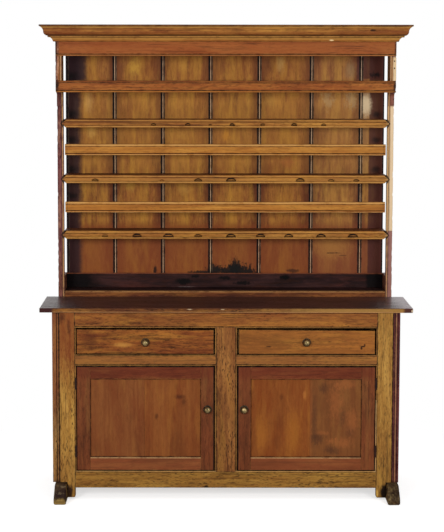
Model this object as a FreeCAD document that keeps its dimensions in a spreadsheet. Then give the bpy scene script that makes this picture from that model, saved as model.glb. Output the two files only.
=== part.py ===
import FreeCAD, Part
import math
import os
from types import SimpleNamespace

import Sketcher

# A country dresser of pine on sledge feet. A cupboard base with two drawers over two panelled
# doors carries a counter, and behind the counter stands a shallow plate rack with open sides,
# three shelves, three guard rails, a beaded board back and a canopy with a cornice.
# X runs to the right, Y to the back and Z up. The floor is Z = 0, and the origin is the middle
# of the dresser's outer box on the floor.

# Every driving length in millimetres.
SIZES = {
    # Carcass
    "body_width": 1530,
    "carcass_depth": 489,
    "side_thickness": 31,
    "side_quirk_width": 2.2,
    "side_quirk_depth": 3,
    "frame_thickness": 24,
    "stile_width": 68,
    "muntin_width": 86,
    "stile_lift": 10,
    "bottom_rail_lift": 54,
    "bottom_rail_width": 71.5,
    "mid_rail_width": 39,
    "drawer_opening_height": 129,
    "top_rail_width": 64,
    "bead_width": 6,
    "bead_proud": 1.5,
    "counter_height": 860,
    "counter_thickness": 20,
    "counter_side_overhang": 54,
    "counter_front_overhang": 12,
    "counter_nosing_radius": 4,
    "floor_board_thickness": 18,
    "cupboard_shelf_thickness": 18,
    "cupboard_shelf_depth": 330,
    "cupboard_shelf_rise": 225,
    "cleat_width": 22,
    "cleat_height": 34,
    "back_board_thickness": 16,
    # Sledge feet
    "foot_width": 55,
    "foot_height": 79,
    "foot_projection": 95,
    "foot_inset_left": 9,
    "foot_inset_right": 1,
    "toe_height": 29,
    "toe_slope_length": 67,
    "foot_clearance": 0.3,
    # Drawers
    "drawer_front_thickness": 20,
    "drawer_side_gap": 3,
    "drawer_top_gap": 2.5,
    "drawer_side_thickness": 12,
    "drawer_side_drop": 10,
    "drawer_back_gap": 43,
    "drawer_bottom_thickness": 8,
    "drawer_bottom_clearance": 1.3,
    "drawer_back_drop": 6,
    "runner_width": 42,
    "runner_height": 26,
    "runner_clearance": 0.3,
    "guide_height": 22,
    "guide_clearance": 1,
    "stop_size": 18,
    "stop_height": 7,
    "stop_clearance": 0.3,
    "drawer_knob_drop": 5,
    # Doors
    "door_gap": 3,
    "door_thickness": 22,
    "door_stile_width": 58,
    "door_rail_width": 56,
    "panel_recess": 9,
    "panel_thickness": 8,
    "panel_tongue": 7,
    "panel_groove_clearance": 1,
    "panel_fit": 0.2,
    "door_knob_rise": 40,
    # Hinges
    "hinge_height": 50,
    "hinge_leaf_thickness": 2,
    "hinge_leaf_depth": 18,
    "hinge_barrel_proud": 3,
    "hinge_pin_radius": 1.8,
    "hinge_pin_clearance": 0.08,
    "hinge_knuckle_gap": 0.3,
    "hinge_neck_clearance": 0.5,
    "hinge_inset_bottom": 84.5,
    "hinge_inset_top": 77,
    # Knobs
    "knob_radius": 15.5,
    "knob_reach": 28,
    "knob_stem_radius": 5.5,
    "rose_radius": 19,
    "rose_thickness": 3,
    "rose_clearance": 0.3,
    # Plate rack
    "rack_setback": 338,
    "post_width": 28,
    "post_depth": 26,
    "post_bead_width": 7,
    "post_quirk_width": 2.2,
    "post_quirk_depth": 3,
    "canopy_projection": 74,
    "canopy_post_reveal": 2,
    "rack_rail_thickness": 20,
    "bracket_drop": 65,
    "bracket_scoop_height": 22,
    "bracket_step": 10,
    "rack_sill_height": 25,
    "rack_sill_rounding": 8,
    "rack_floor_thickness": 18,
    "plinth_height": 67,
    "plinth_thickness": 14,
    "shelf_lower_rise": 302,
    "shelf_middle_rise": 256,
    "shelf_upper_rise": 254,
    "shelf_thickness": 18,
    "shelf_edge_height": 36.5,
    "shelf_edge_depth": 22,
    "shelf_edge_point": 11,
    "shelf_edge_lip": 5,
    "joint_clearance": 0.3,
    "notch_width": 42,
    "notch_height": 11,
    "notch_depth": 7,
    "small_notch_width": 20,
    "small_notch_height": 7,
    "guard_lower_gap": 86,
    "guard_lower_height": 48,
    "guard_middle_gap": 92,
    "guard_middle_height": 50,
    "guard_shoulder_gap": 6,
    "guard_tenon_length": 12,
    "guard_tenon_setback": 4,
    "guard_tenon_thickness": 10,
    "guard_tenon_shoulder": 8,
    "canopy_rail_gap": 125,
    "canopy_rail_height": 53,
    "rail_band_height": 10,
    "rail_band_slope": 3.5,
    "rail_bead_height": 7,
    "rail_quirk_height": 2,
    "rail_quirk_depth": 3,
    "canopy_opening_height": 110,
    "frieze_height": 64,
    "cornice_height": 75,
    "cornice_projection": 67,
    "dust_board_thickness": 16,
    "back_bead_width": 8,
    "back_quirk_width": 3.5,
    "back_quirk_depth": 4,
    "back_edge_chamfer": 2,
    # One overrun for every cut that has to run past a face
    "overrun": 20,
}

# Widths of the rack's back boards, from left to right, as shares of the whole back. The last
# board fills what is left.
BACK_BOARD_SHARES = (0.151, 0.151, 0.150, 0.153, 0.164, 0.155)

# Places of the spoon notches along each shelf edge, as shares of the rack's clear width
# measured from the middle.
LOWER_NOTCH_SHARES = (-0.373, -0.274, -0.176, -0.084, 0.018, 0.110, 0.198, 0.298, 0.397)
MIDDLE_NOTCH_SHARES = (-0.403, -0.196, -0.084, 0.018, 0.232, 0.328, 0.406)
UPPER_NOTCH_SHARES = (-0.222, -0.116, -0.047, 0.021, 0.115, 0.212, 0.303)

# Height of a notch's foot above the underside of its shelf edge, as a share of the edge.
NOTCH_FOOT_SHARE = 0.25

# The cornice's section: how far each corner stands out, and how high it lies, as shares of the
# cornice's projection and height.
CORNICE_OVOLO_OUT_SHARE = 0.14
CORNICE_OVOLO_TOP_OUT_SHARE = 0.34
CORNICE_OVOLO_TOP_SHARE = 0.26
CORNICE_FILLET_OUT_SHARE = 0.47
CORNICE_FILLET_TOP_SHARE = 0.34
CORNICE_CYMA_MID_OUT_SHARE = 0.73
CORNICE_CYMA_MID_SHARE = 0.54
CORNICE_CYMA_TOP_OUT_SHARE = 0.96
CORNICE_CYMA_TOP_SHARE = 0.90

# Radii of curved faces as shares of the height or chord that they span.
CORNICE_OVOLO_RADIUS_SHARE = 0.34
CORNICE_CYMA_FOOT_RADIUS_SHARE = 0.27
CORNICE_CYMA_HEAD_RADIUS_SHARE = 0.37
SHELF_EDGE_RADIUS_SHARE = 0.80
BEAD_RADIUS_SHARE = 0.53
SCOOP_RADIUS_SHARE = 1.45

# Places of the joint between a door panel's two boards, as shares of the panel's width.
LEFT_PANEL_JOINT_SHARE = 0.49
RIGHT_PANEL_JOINT_SHARE = 0.535

# The knob's section: radii as shares of the knob's radius, and places along its axis as shares
# of its reach.
KNOB_WAIST_SHARE = 0.40
KNOB_WIDEST_SHARE = 0.70
KNOB_FACE_RADIUS_SHARE = 0.62
KNOB_FLARE_RADIUS_SHARE = 0.95
KNOB_CROWN_RADIUS_SHARE = 0.75
ROSE_RIM_SHARE = 0.35

# Knuckles of a hinge barrel; the fixed leaf has the first, the third and the fifth.
KNUCKLE_COUNT = 5

BASE_BACK_BOARD_COUNT = 7

LEFT = -1
RIGHT = 1
SIDES = {"left": LEFT, "right": RIGHT}


class Length:
    """A length in millimetres together with the sheet expression that gives it."""

    def __init__(self, value, text):
        self.value = value
        self.text = text

    def __add__(self, other):
        return Length(self.value + other.value, f"({self.text} + {other.text})")

    def __sub__(self, other):
        return Length(self.value - other.value, f"({self.text} - {other.text})")

    def __mul__(self, factor):
        return Length(self.value * factor, f"({self.text} * {factor})")

    def __truediv__(self, divisor):
        return Length(self.value / divisor, f"({self.text} / {divisor})")

    def __neg__(self):
        return self * -1


ZERO = Length(0.0, "0")

doc = FreeCAD.newDocument("dresser")
nodes = []


def make_sheet():
    """Write the driving lengths to the sheet and return them as lengths by name."""
    sheet = doc.addObject("Spreadsheet::Sheet", "Sizes")
    lengths = {}
    for row, (name, value) in enumerate(SIZES.items(), start=1):
        cell = f"A{row}"
        sheet.set(cell, str(value))
        sheet.setAlias(cell, name)
        lengths[name] = Length(float(value), f"Sizes.{name}")
    doc.recompute()
    return SimpleNamespace(**lengths)


size = make_sheet()


def place(item, x, y, z):
    """Bind an object's place to the sheet."""
    item.setExpression("Placement.Base.x", x.text)
    item.setExpression("Placement.Base.y", y.text)
    item.setExpression("Placement.Base.z", z.text)


def node(item, name):
    """Keep a finished sub-part under its own name."""
    item.Label = name
    nodes.append(item)
    return item


def box(name, x, y, z):
    """A squared board between two places along each axis."""
    item = doc.addObject("Part::Box", name)
    item.setExpression("Length", (x[1] - x[0]).text)
    item.setExpression("Width", (y[1] - y[0]).text)
    item.setExpression("Height", (z[1] - z[0]).text)
    place(item, x[0], y[0], z[0])
    return item


def cylinder(name, centre_x, centre_y, z, radius):
    """An upright cylinder between two heights."""
    item = doc.addObject("Part::Cylinder", name)
    item.setExpression("Radius", radius.text)
    item.setExpression("Height", (z[1] - z[0]).text)
    place(item, centre_x, centre_y, z[0])
    return item


def board(name, x, y, z):
    return node(box(name, x, y, z), name)


def group(name, members):
    """Several separate solids kept as one sub-part."""
    compound = doc.addObject("Part::Compound", name)
    compound.Links = members
    return node(compound, name)


def on_side(side, inner, outer):
    """The low and high X of something between two distances from the middle, on one side."""
    if side == RIGHT:
        return inner, outer
    return -outer, -inner


def corner(across, up):
    """A corner of an outline, reached by a straight edge."""
    return SimpleNamespace(across=across, up=up, radius=None, bulge=0)


def curve_to(across, up, radius, bulge):
    """A corner reached by an arc that bulges to the left (1) or right (-1) of the way there."""
    return SimpleNamespace(across=across, up=up, radius=radius, bulge=bulge)


def rectangle(across, up):
    return [
        corner(across[0], up[0]),
        corner(across[1], up[0]),
        corner(across[1], up[1]),
        corner(across[0], up[1]),
    ]


def arc_edge(start, end, radius, bulge):
    """The arc between two outline points, and whether it runs from end to start."""
    chord = end - start
    middle = (start + end) * 0.5
    left = FreeCAD.Vector(-chord.y, chord.x, 0).normalize()
    rise = math.sqrt(radius ** 2 - (chord.Length / 2) ** 2)
    centre = middle - left * (rise * bulge)
    first, last = (end, start) if bulge > 0 else (start, end)
    circle = Part.Circle(centre, FreeCAD.Vector(0, 0, 1), radius)
    first_angle = math.atan2(first.y - centre.y, first.x - centre.x)
    last_angle = math.atan2(last.y - centre.y, last.x - centre.x)
    return Part.ArcOfCircle(circle, first_angle, last_angle), bulge > 0


class Worked:
    """A worked piece of wood or metal: one body with sketches on its own planes."""

    def __init__(self, name, x, y, z):
        self.body = doc.addObject("PartDesign::Body", name)
        place(self.body, x, y, z)
        self.name = name

    def origin(self, role):
        for feature in self.body.Origin.OriginFeatures:
            if feature.Role == role:
                return feature
        raise ValueError(role)

    def draw(self, plane, outlines):
        """Draw closed outlines on one of the body's planes, every corner bound to the sheet."""
        sketch = self.body.newObject("Sketcher::SketchObject", f"{self.name}_outline")
        sketch.AttachmentSupport = (self.origin(f"{plane}_Plane"), "")
        sketch.MapMode = "FlatFace"
        for outline in outlines:
            self.draw_outline(sketch, outline)
        return sketch

    def draw_outline(self, sketch, outline):
        edges = []
        for index, point in enumerate(outline):
            before = outline[index - 1]
            start = FreeCAD.Vector(before.across.value, before.up.value, 0)
            end = FreeCAD.Vector(point.across.value, point.up.value, 0)
            backwards = False
            if point.radius is None:
                edge = Part.LineSegment(start, end)
            else:
                edge, backwards = arc_edge(start, end, point.radius.value, point.bulge)
            number = sketch.addGeometry(edge)
            edges.append((number, backwards, point))
        for index, (number, backwards, point) in enumerate(edges):
            end_position = 1 if backwards else 2
            next_number, next_backwards, _ = edges[(index + 1) % len(edges)]
            next_start = 2 if next_backwards else 1
            sketch.addConstraint(
                Sketcher.Constraint("Coincident", number, end_position, next_number, next_start))
            self.hold(sketch, "DistanceX", point.across, number, end_position)
            self.hold(sketch, "DistanceY", point.up, number, end_position)
            if point.radius is not None:
                self.hold(sketch, "Radius", point.radius, number)

    def hold(self, sketch, kind, length, *where):
        constraint = sketch.addConstraint(Sketcher.Constraint(kind, *where, length.value))
        if length is not ZERO:
            sketch.setExpression(f"Constraints[{constraint}]", length.text)

    def pad(self, plane, outline, length, backwards=False):
        feature = self.body.newObject("PartDesign::Pad", f"{self.name}_pad")
        feature.Profile = self.draw(plane, [outline])
        feature.Reversed = backwards
        feature.setExpression("Length", length.text)
        return self

    def pocket(self, plane, outlines, depth):
        """Cut to this depth on both sides of the plane."""
        feature = self.body.newObject("PartDesign::Pocket", f"{self.name}_cut")
        feature.Profile = self.draw(plane, outlines)
        feature.SideType = "Symmetric"
        feature.setExpression("Length", (depth * 2).text)
        return self

    def turn(self, plane, outline, axis):
        feature = self.body.newObject("PartDesign::Revolution", f"{self.name}_turning")
        feature.Profile = self.draw(plane, [outline])
        feature.ReferenceAxis = (self.origin(f"{axis}_Axis"), [""])
        return self

    def finish(self):
        return node(self.body, self.name)


# Places that the whole dresser shares.
half_body = size.body_width / 2
side_inner = half_body - size.side_thickness
opening_outer = side_inner - size.stile_width
opening_inner = size.muntin_width / 2

front = -(size.carcass_depth - size.foot_projection) / 2
back = front + size.carcass_depth
frame_back = front + size.frame_thickness
back_board_face = back - size.back_board_thickness
rack_front = front + size.rack_setback
rack_rail_back = rack_front + size.rack_rail_thickness
post_back = rack_front + size.post_depth
canopy_front = rack_front - size.canopy_projection
canopy_rail_back = canopy_front + size.rack_rail_thickness

counter_underside = size.counter_height - size.counter_thickness
drawer_opening_high = counter_underside - size.top_rail_width
drawer_opening_low = drawer_opening_high - size.drawer_opening_height
door_opening_high = drawer_opening_low - size.mid_rail_width
door_opening_low = size.bottom_rail_lift + size.bottom_rail_width

shelf_lower_top = size.counter_height + size.shelf_lower_rise
shelf_middle_top = shelf_lower_top + size.shelf_middle_rise
shelf_upper_top = shelf_middle_top + size.shelf_upper_rise
guard_lower_low = shelf_lower_top + size.guard_lower_gap
guard_middle_low = shelf_middle_top + size.guard_middle_gap
canopy_rail_low = shelf_upper_top + size.canopy_rail_gap
canopy_rail_high = canopy_rail_low + size.canopy_rail_height
frieze_low = canopy_rail_high + size.canopy_opening_height
cornice_low = frieze_low + size.frieze_height
dresser_top = cornice_low + size.cornice_height
post_top = dresser_top - size.dust_board_thickness
sill_top = size.counter_height + size.rack_sill_height
plinth_top = sill_top + size.plinth_height

post_inner = half_body - size.post_width
drawer_outer = opening_outer - size.bead_width - size.drawer_side_gap
drawer_inner = opening_inner + size.bead_width + size.drawer_side_gap
drawer_low = drawer_opening_low + size.bead_width + size.drawer_top_gap
drawer_high = drawer_opening_high - size.bead_width - size.drawer_top_gap
drawer_rest = drawer_opening_low + size.bead_width
drawer_side_low = drawer_rest + size.runner_clearance
drawer_side_high = drawer_high - size.drawer_side_drop
drawer_back = back_board_face - size.drawer_back_gap

door_outer = opening_outer - size.bead_width - size.door_gap
door_inner = opening_inner + size.bead_width + size.door_gap
door_low = door_opening_low + size.bead_width + size.door_gap
door_high = door_opening_high - size.bead_width - size.door_gap
hinge_radius = (opening_outer - door_outer) / 2
hinge_x = opening_outer - hinge_radius
hinge_y = front - size.hinge_barrel_proud
hinge_heights = {
    "lower": door_low + size.hinge_inset_bottom,
    "upper": door_high - size.hinge_inset_top,
}


def make_sides():
    """Side planks on the sledge feet, each with two quirks run down its front edge."""
    quirk = size.side_quirk_width
    depth = size.side_quirk_depth
    band = (size.side_thickness - quirk * 2) / 3
    plank_depth = back_board_face - front
    for word, side in SIDES.items():
        first = band
        second = band * 2 + quirk
        outline = [
            corner(ZERO, ZERO),
            corner(first * side, ZERO),
            corner((first + quirk / 2) * side, depth),
            corner((first + quirk) * side, ZERO),
            corner(second * side, ZERO),
            corner((second + quirk / 2) * side, depth),
            corner((second + quirk) * side, ZERO),
            corner(size.side_thickness * side, ZERO),
            corner(size.side_thickness * side, plank_depth),
            corner(ZERO, plank_depth),
        ]
        plank = Worked(f"side_{word}", side_inner * side, front, size.foot_height)
        plank.pad("XY", outline, counter_underside - size.foot_height)
        plank.finish()


def make_feet():
    """Sledge feet under the sides, with toes that slope down in front of the frame."""
    insets = {"left": size.foot_inset_left, "right": size.foot_inset_right}
    toe = -size.foot_projection
    outline = [
        corner(toe, ZERO),
        corner(size.carcass_depth, ZERO),
        corner(size.carcass_depth, size.foot_height),
        corner(toe + size.toe_slope_length, size.foot_height),
        corner(toe, size.toe_height),
    ]
    for word, side in SIDES.items():
        outer = half_body - insets[word]
        low, _ = on_side(side, outer - size.foot_width, outer)
        foot = Worked(f"sledge_foot_{word}", low, front, ZERO)
        foot.pad("YZ", outline, size.foot_width)
        foot.finish()


def make_face_frame():
    """Stiles notched over the feet, a centre muntin and the rails between them."""
    insets = {"left": size.foot_inset_left, "right": size.foot_inset_right}
    for word, side in SIDES.items():
        foot_inner = half_body - insets[word] - size.foot_width
        notch = foot_inner - opening_outer - size.foot_clearance
        outline = [
            corner(ZERO, size.stile_lift),
            corner(notch * side, size.stile_lift),
            corner(notch * side, size.foot_height),
            corner(size.stile_width * side, size.foot_height),
            corner(size.stile_width * side, counter_underside),
            corner(ZERO, counter_underside),
        ]
        stile = Worked(f"face_stile_{word}", opening_outer * side, front, ZERO)
        stile.pad("XZ", outline, size.frame_thickness, backwards=True)
        stile.finish()
    depth = (front, frame_back)
    between_stiles = (-opening_outer, opening_outer)
    board("centre_muntin", (-opening_inner, opening_inner), depth,
          (door_opening_low, drawer_opening_high))
    board("top_rail", between_stiles, depth, (drawer_opening_high, counter_underside))
    board("bottom_rail", between_stiles, depth, (size.bottom_rail_lift, door_opening_low))
    rails = []
    for word, side in SIDES.items():
        rails.append(box(f"mid_rail_{word}", on_side(side, opening_inner, opening_outer), depth,
                         (door_opening_high, drawer_opening_low)))
    group("mid_rails", rails)


def bead_outline(width):
    """A bead's section: a flat back and a round front, its back on the plane."""
    shoulder = -(size.bead_proud - width / 2)
    return [
        corner(ZERO, size.frame_thickness),
        corner(ZERO, shoulder),
        curve_to(width, shoulder, width * BEAD_RADIUS_SHARE, -1),
        corner(width, size.frame_thickness),
    ]


def upright_bead(name, x, z):
    bead = Worked(name, x, front, z[0])
    bead.pad("XY", bead_outline(size.bead_width), z[1] - z[0])
    return bead.body


def level_bead(name, x, z):
    width = size.bead_width
    shoulder = -(size.bead_proud - width / 2)
    outline = [
        corner(size.frame_thickness, ZERO),
        corner(shoulder, ZERO),
        curve_to(shoulder, width, width * BEAD_RADIUS_SHARE, 1),
        corner(size.frame_thickness, width),
    ]
    bead = Worked(name, x[0], front, z)
    bead.pad("YZ", outline, x[1] - x[0])
    return bead.body


def make_opening_beads():
    """Slips with a round front that line the two drawer and two door openings."""
    beads = []
    bead = size.bead_width
    gaps = []
    for height in hinge_heights.values():
        half = size.hinge_height / 2 + size.hinge_knuckle_gap
        gaps.append((height - half, height + half))
    door_runs = [
        (door_opening_low + bead, gaps[0][0]),
        (gaps[0][1], gaps[1][0]),
        (gaps[1][1], door_opening_high - bead),
    ]
    for word, side in SIDES.items():
        across = on_side(side, opening_inner, opening_outer)
        for kind, low, high in (("drawer", drawer_opening_low, drawer_opening_high),
                                ("door", door_opening_low, door_opening_high)):
            name = f"{kind}_{word}_bead"
            beads.append(level_bead(f"{name}_bottom", across, low))
            beads.append(level_bead(f"{name}_top", across, high - bead))
            inner_x, _ = on_side(side, opening_inner, opening_inner + bead)
            outer_x, _ = on_side(side, opening_outer - bead, opening_outer)
            upright = (low + bead, high - bead)
            beads.append(upright_bead(f"{name}_inner", inner_x, upright))
            outer_runs = door_runs if kind == "door" else [upright]
            for number, run in enumerate(outer_runs, start=1):
                beads.append(upright_bead(f"{name}_outer_{number}", outer_x, run))
    group("opening_beads", beads)


def make_counter():
    """The counter board, which ends at the face of the rack."""
    radius = size.counter_nosing_radius
    depth = size.counter_front_overhang + size.rack_setback
    outline = [
        curve_to(radius, ZERO, radius, -1),
        corner(depth, ZERO),
        corner(depth, size.counter_thickness),
        corner(radius, size.counter_thickness),
        curve_to(ZERO, size.counter_thickness - radius, radius, -1),
        corner(ZERO, radius),
    ]
    reach = half_body + size.counter_side_overhang
    counter = Worked("counter_top", -reach, front - size.counter_front_overhang,
                     counter_underside)
    counter.pad("YZ", outline, reach * 2)
    counter.finish()


def make_cupboard():
    """The cupboard's floor, its inner shelf on cleats and the boards of its back."""
    between_sides = (-side_inner, side_inner)
    board("cupboard_floor", between_sides, (frame_back, back_board_face),
          (door_opening_low - size.floor_board_thickness, door_opening_low))
    shelf_low = door_opening_low + size.cupboard_shelf_rise
    shelf_front = back_board_face - size.cupboard_shelf_depth
    board("cupboard_shelf", between_sides, (shelf_front, back_board_face),
          (shelf_low, shelf_low + size.cupboard_shelf_thickness))
    cleats = []
    for word, side in SIDES.items():
        cleats.append(box(f"shelf_cleat_{word}",
                          on_side(side, side_inner - size.cleat_width, side_inner),
                          (shelf_front, back_board_face),
                          (shelf_low - size.cleat_height, shelf_low)))
    cleats.append(box("shelf_cleat_back",
                      (size.cleat_width - side_inner, side_inner - size.cleat_width),
                      (back_board_face - size.cleat_width, back_board_face),
                      (shelf_low - size.cleat_height, shelf_low)))
    group("shelf_cleats", cleats)
    boards = []
    board_width = size.body_width / BASE_BACK_BOARD_COUNT
    for number in range(BASE_BACK_BOARD_COUNT):
        low = board_width * number - half_body
        high = low + board_width
        boards.append(box(f"base_back_board_{number + 1}", (low, high), (back_board_face, back),
                          (size.foot_height, counter_underside)))
    group("base_back_boards", boards)


def make_drawer_bearers():
    """Runners that carry the drawers, guides beside them and stops behind their fronts."""
    runner_z = (drawer_rest - size.runner_height, drawer_rest)
    guide_z = (drawer_rest, drawer_rest + size.guide_height)
    along = (frame_back, back_board_face)
    guide_outer = drawer_outer + size.guide_clearance
    guide_inner = drawer_inner - size.guide_clearance
    runners = [box("drawer_runner_centre", (-guide_inner - size.runner_width,
                                            guide_inner + size.runner_width), along, runner_z)]
    guides = [box("drawer_guide_centre", (-guide_inner, guide_inner), along, guide_z)]
    stop_front = front + size.drawer_front_thickness + size.stop_clearance
    stop_y = (stop_front, stop_front + size.stop_size)
    stop_z = (drawer_rest, drawer_rest + size.stop_height)
    for word, side in SIDES.items():
        runners.append(box(f"drawer_runner_{word}",
                           on_side(side, guide_outer - size.runner_width, side_inner),
                           along, runner_z))
        guides.append(box(f"drawer_guide_{word}", on_side(side, guide_outer, side_inner),
                          along, guide_z))
        for end, edge in (("outer", guide_outer - size.runner_width),
                          ("inner", guide_inner + size.runner_width - size.stop_size)):
            guides.append(box(f"drawer_stop_{word}_{end}",
                              on_side(side, edge, edge + size.stop_size), stop_y, stop_z))
    group("drawer_runners", runners)
    group("drawer_guides_and_stops", guides)


def make_knob(name, x, y, z):
    """A turned knob whose stem passes through a round rose."""
    reach = size.knob_reach
    radius = size.knob_radius
    stem = size.knob_stem_radius
    waist = reach * KNOB_WAIST_SHARE
    widest = reach * KNOB_WIDEST_SHARE
    face = radius * KNOB_FACE_RADIUS_SHARE
    knob_outline = [
        corner(ZERO, ZERO),
        corner(-reach, ZERO),
        corner(-reach, face),
        curve_to(-widest, radius, radius * KNOB_CROWN_RADIUS_SHARE, 1),
        curve_to(-waist, stem, radius * KNOB_FLARE_RADIUS_SHARE, 1),
        corner(ZERO, stem),
    ]
    knob = Worked(f"{name}_turned", x, y, z)
    knob.turn("YZ", knob_outline, "Y")
    hole = stem + size.rose_clearance
    rim = size.rose_thickness * ROSE_RIM_SHARE
    rose_outline = [
        corner(ZERO, hole),
        corner(-size.rose_thickness, hole),
        corner(-size.rose_thickness, (hole + size.rose_radius) / 2),
        corner(-rim, size.rose_radius),
        corner(ZERO, size.rose_radius),
    ]
    rose = Worked(f"{name}_rose", x, y, z)
    rose.turn("YZ", rose_outline, "Y")
    group(name, [knob.body, rose.body])


def make_drawer(word, side):
    """One drawer: a front, two sides, a back, a bottom and its knob."""
    name = f"drawer_{word}"
    thickness = size.drawer_side_thickness
    front_back = front + size.drawer_front_thickness
    board(f"{name}_front", on_side(side, drawer_inner, drawer_outer), (front, front_back),
          (drawer_low, drawer_high))
    sides = []
    for end, edge in (("inner", drawer_inner), ("outer", drawer_outer - thickness)):
        sides.append(box(f"{name}_side_{end}", on_side(side, edge, edge + thickness),
                         (front_back, drawer_back), (drawer_side_low, drawer_side_high)))
    group(f"{name}_sides", sides)
    inside = on_side(side, drawer_inner + thickness, drawer_outer - thickness)
    bottom_low = drawer_rest + size.stop_height + size.drawer_bottom_clearance
    bottom_high = bottom_low + size.drawer_bottom_thickness
    board(f"{name}_bottom", inside, (front_back, drawer_back), (bottom_low, bottom_high))
    board(f"{name}_back", inside, (drawer_back - thickness, drawer_back),
          (bottom_high, drawer_side_high - size.drawer_back_drop))
    middle = (drawer_inner + drawer_outer) / 2 * side
    make_knob(f"{name}_knob", middle, front,
              (drawer_low + drawer_high) / 2 - size.drawer_knob_drop)


def make_door(word, side, joint_share):
    """One door: grooved stiles and rails round a panel of two boards, and its knob."""
    name = f"door_{word}"
    groove_near = size.panel_recess - size.panel_fit
    groove_far = size.panel_recess + size.panel_thickness + size.panel_fit
    groove = size.panel_tongue + size.panel_groove_clearance
    width = size.door_stile_width
    stiles = []
    for end, edge, way in (("hinge", door_outer, -1), ("lock", door_inner, 1)):
        turn = way * side
        outline = [
            corner(ZERO, ZERO),
            corner(width * turn, ZERO),
            corner(width * turn, groove_near),
            corner((width - groove) * turn, groove_near),
            corner((width - groove) * turn, groove_far),
            corner(width * turn, groove_far),
            corner(width * turn, size.door_thickness),
            corner(ZERO, size.door_thickness),
        ]
        stile = Worked(f"{name}_{end}_stile", edge * side, front, door_low)
        stile.pad("XY", outline, door_high - door_low)
        stiles.append(stile.body)
    group(f"{name}_stiles", stiles)

    rail_width = size.door_rail_width
    rail_x = on_side(side, door_inner + width, door_outer - width)
    tenon_x = on_side(side, door_inner + width - size.panel_tongue,
                      door_outer - width + size.panel_tongue)
    tenon_near = groove_near + size.panel_fit
    tenon_far = groove_far - size.panel_fit
    rails = []
    for end, edge, way in (("bottom", door_low, 1), ("top", door_high, -1)):
        outline = [
            corner(ZERO, ZERO),
            corner(ZERO, rail_width * way),
            corner(groove_near, rail_width * way),
            corner(groove_near, (rail_width - groove) * way),
            corner(groove_far, (rail_width - groove) * way),
            corner(groove_far, rail_width * way),
            corner(size.door_thickness, rail_width * way),
            corner(size.door_thickness, ZERO),
        ]
        rail = Worked(f"{name}_{end}_rail", rail_x[0], front, edge)
        rail.pad("YZ", outline, rail_x[1] - rail_x[0])
        tenon = rectangle((tenon_near, tenon_far), (ZERO, (rail_width - groove) * way))
        rail.pad("YZ", tenon, rail_x[1] - rail_x[0] + size.panel_tongue)
        rail.pad("YZ", tenon, rail_x[0] - tenon_x[0], backwards=True)
        rails.append(rail.body)
    group(f"{name}_rails", rails)

    panel_y = (front + size.panel_recess, front + size.panel_recess + size.panel_thickness)
    panel_z = (door_low + rail_width - size.panel_tongue,
               door_high - rail_width + size.panel_tongue)
    joint = tenon_x[0] + (tenon_x[1] - tenon_x[0]) * joint_share
    group(f"{name}_panel", [
        box(f"{name}_panel_board_1", (tenon_x[0], joint), panel_y, panel_z),
        box(f"{name}_panel_board_2", (joint, tenon_x[1]), panel_y, panel_z),
    ])
    make_knob(f"{name}_knob", (door_inner + width / 2) * side, front,
              (door_low + door_high) / 2 + size.door_knob_rise)


def make_hinge(name, side, middle):
    """One butt hinge: a fixed leaf, a moving leaf and the pin through their knuckles."""
    low = middle - size.hinge_height / 2
    pitch = size.hinge_height / KNUCKLE_COUNT
    axis_x = hinge_x * side
    leaf_far = hinge_y + size.hinge_barrel_proud + size.hinge_leaf_depth
    leaf_near = hinge_y + hinge_radius + size.hinge_neck_clearance
    thickness = size.hinge_leaf_thickness
    fixed_x = on_side(side, opening_outer - thickness, opening_outer)
    moving_x = on_side(side, door_outer, door_outer + thickness)
    full = (low, low + size.hinge_height)
    parts = {
        "fixed": [box(f"{name}_fixed_plate", fixed_x, (leaf_near, leaf_far), full)],
        "moving": [box(f"{name}_moving_plate", moving_x, (leaf_near, leaf_far), full)],
    }
    neck_x = {"fixed": fixed_x, "moving": moving_x}
    for number in range(KNUCKLE_COUNT):
        leaf = "moving" if number % 2 else "fixed"
        knuckle = (low + pitch * number + size.hinge_knuckle_gap / 2,
                   low + pitch * (number + 1) - size.hinge_knuckle_gap / 2)
        label = f"{name}_{leaf}_knuckle_{number + 1}"
        parts[leaf].append(cylinder(label, axis_x, hinge_y, knuckle, hinge_radius))
        parts[leaf].append(box(f"{label}_neck", neck_x[leaf], (hinge_y, leaf_near), knuckle))
    leaves = {}
    for leaf, members in parts.items():
        solid = doc.addObject("Part::MultiFuse", f"{name}_{leaf}_solid")
        solid.Shapes = members
        bore = cylinder(f"{name}_{leaf}_bore", axis_x, hinge_y,
                        (low - size.overrun, low + size.hinge_height + size.overrun),
                        size.hinge_pin_radius + size.hinge_pin_clearance)
        cut = doc.addObject("Part::Cut", f"{name}_{leaf}_leaf")
        cut.Base = solid
        cut.Tool = bore
        leaves[leaf] = cut
    pin = cylinder(f"{name}_pin", axis_x, hinge_y, full, size.hinge_pin_radius)
    return leaves["fixed"], leaves["moving"], pin


def make_hinges():
    """Two butt hinges on the outer edge of each door."""
    fixed_leaves = []
    pins = []
    for word, side in SIDES.items():
        moving_leaves = []
        for level, height in hinge_heights.items():
            fixed, moving, pin = make_hinge(f"hinge_{word}_{level}", side, height)
            fixed_leaves.append(fixed)
            moving_leaves.append(moving)
            pins.append(pin)
        group(f"door_{word}_hinge_leaves", moving_leaves)
    group("frame_hinge_leaves", fixed_leaves)
    group("hinge_pins", pins)


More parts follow.
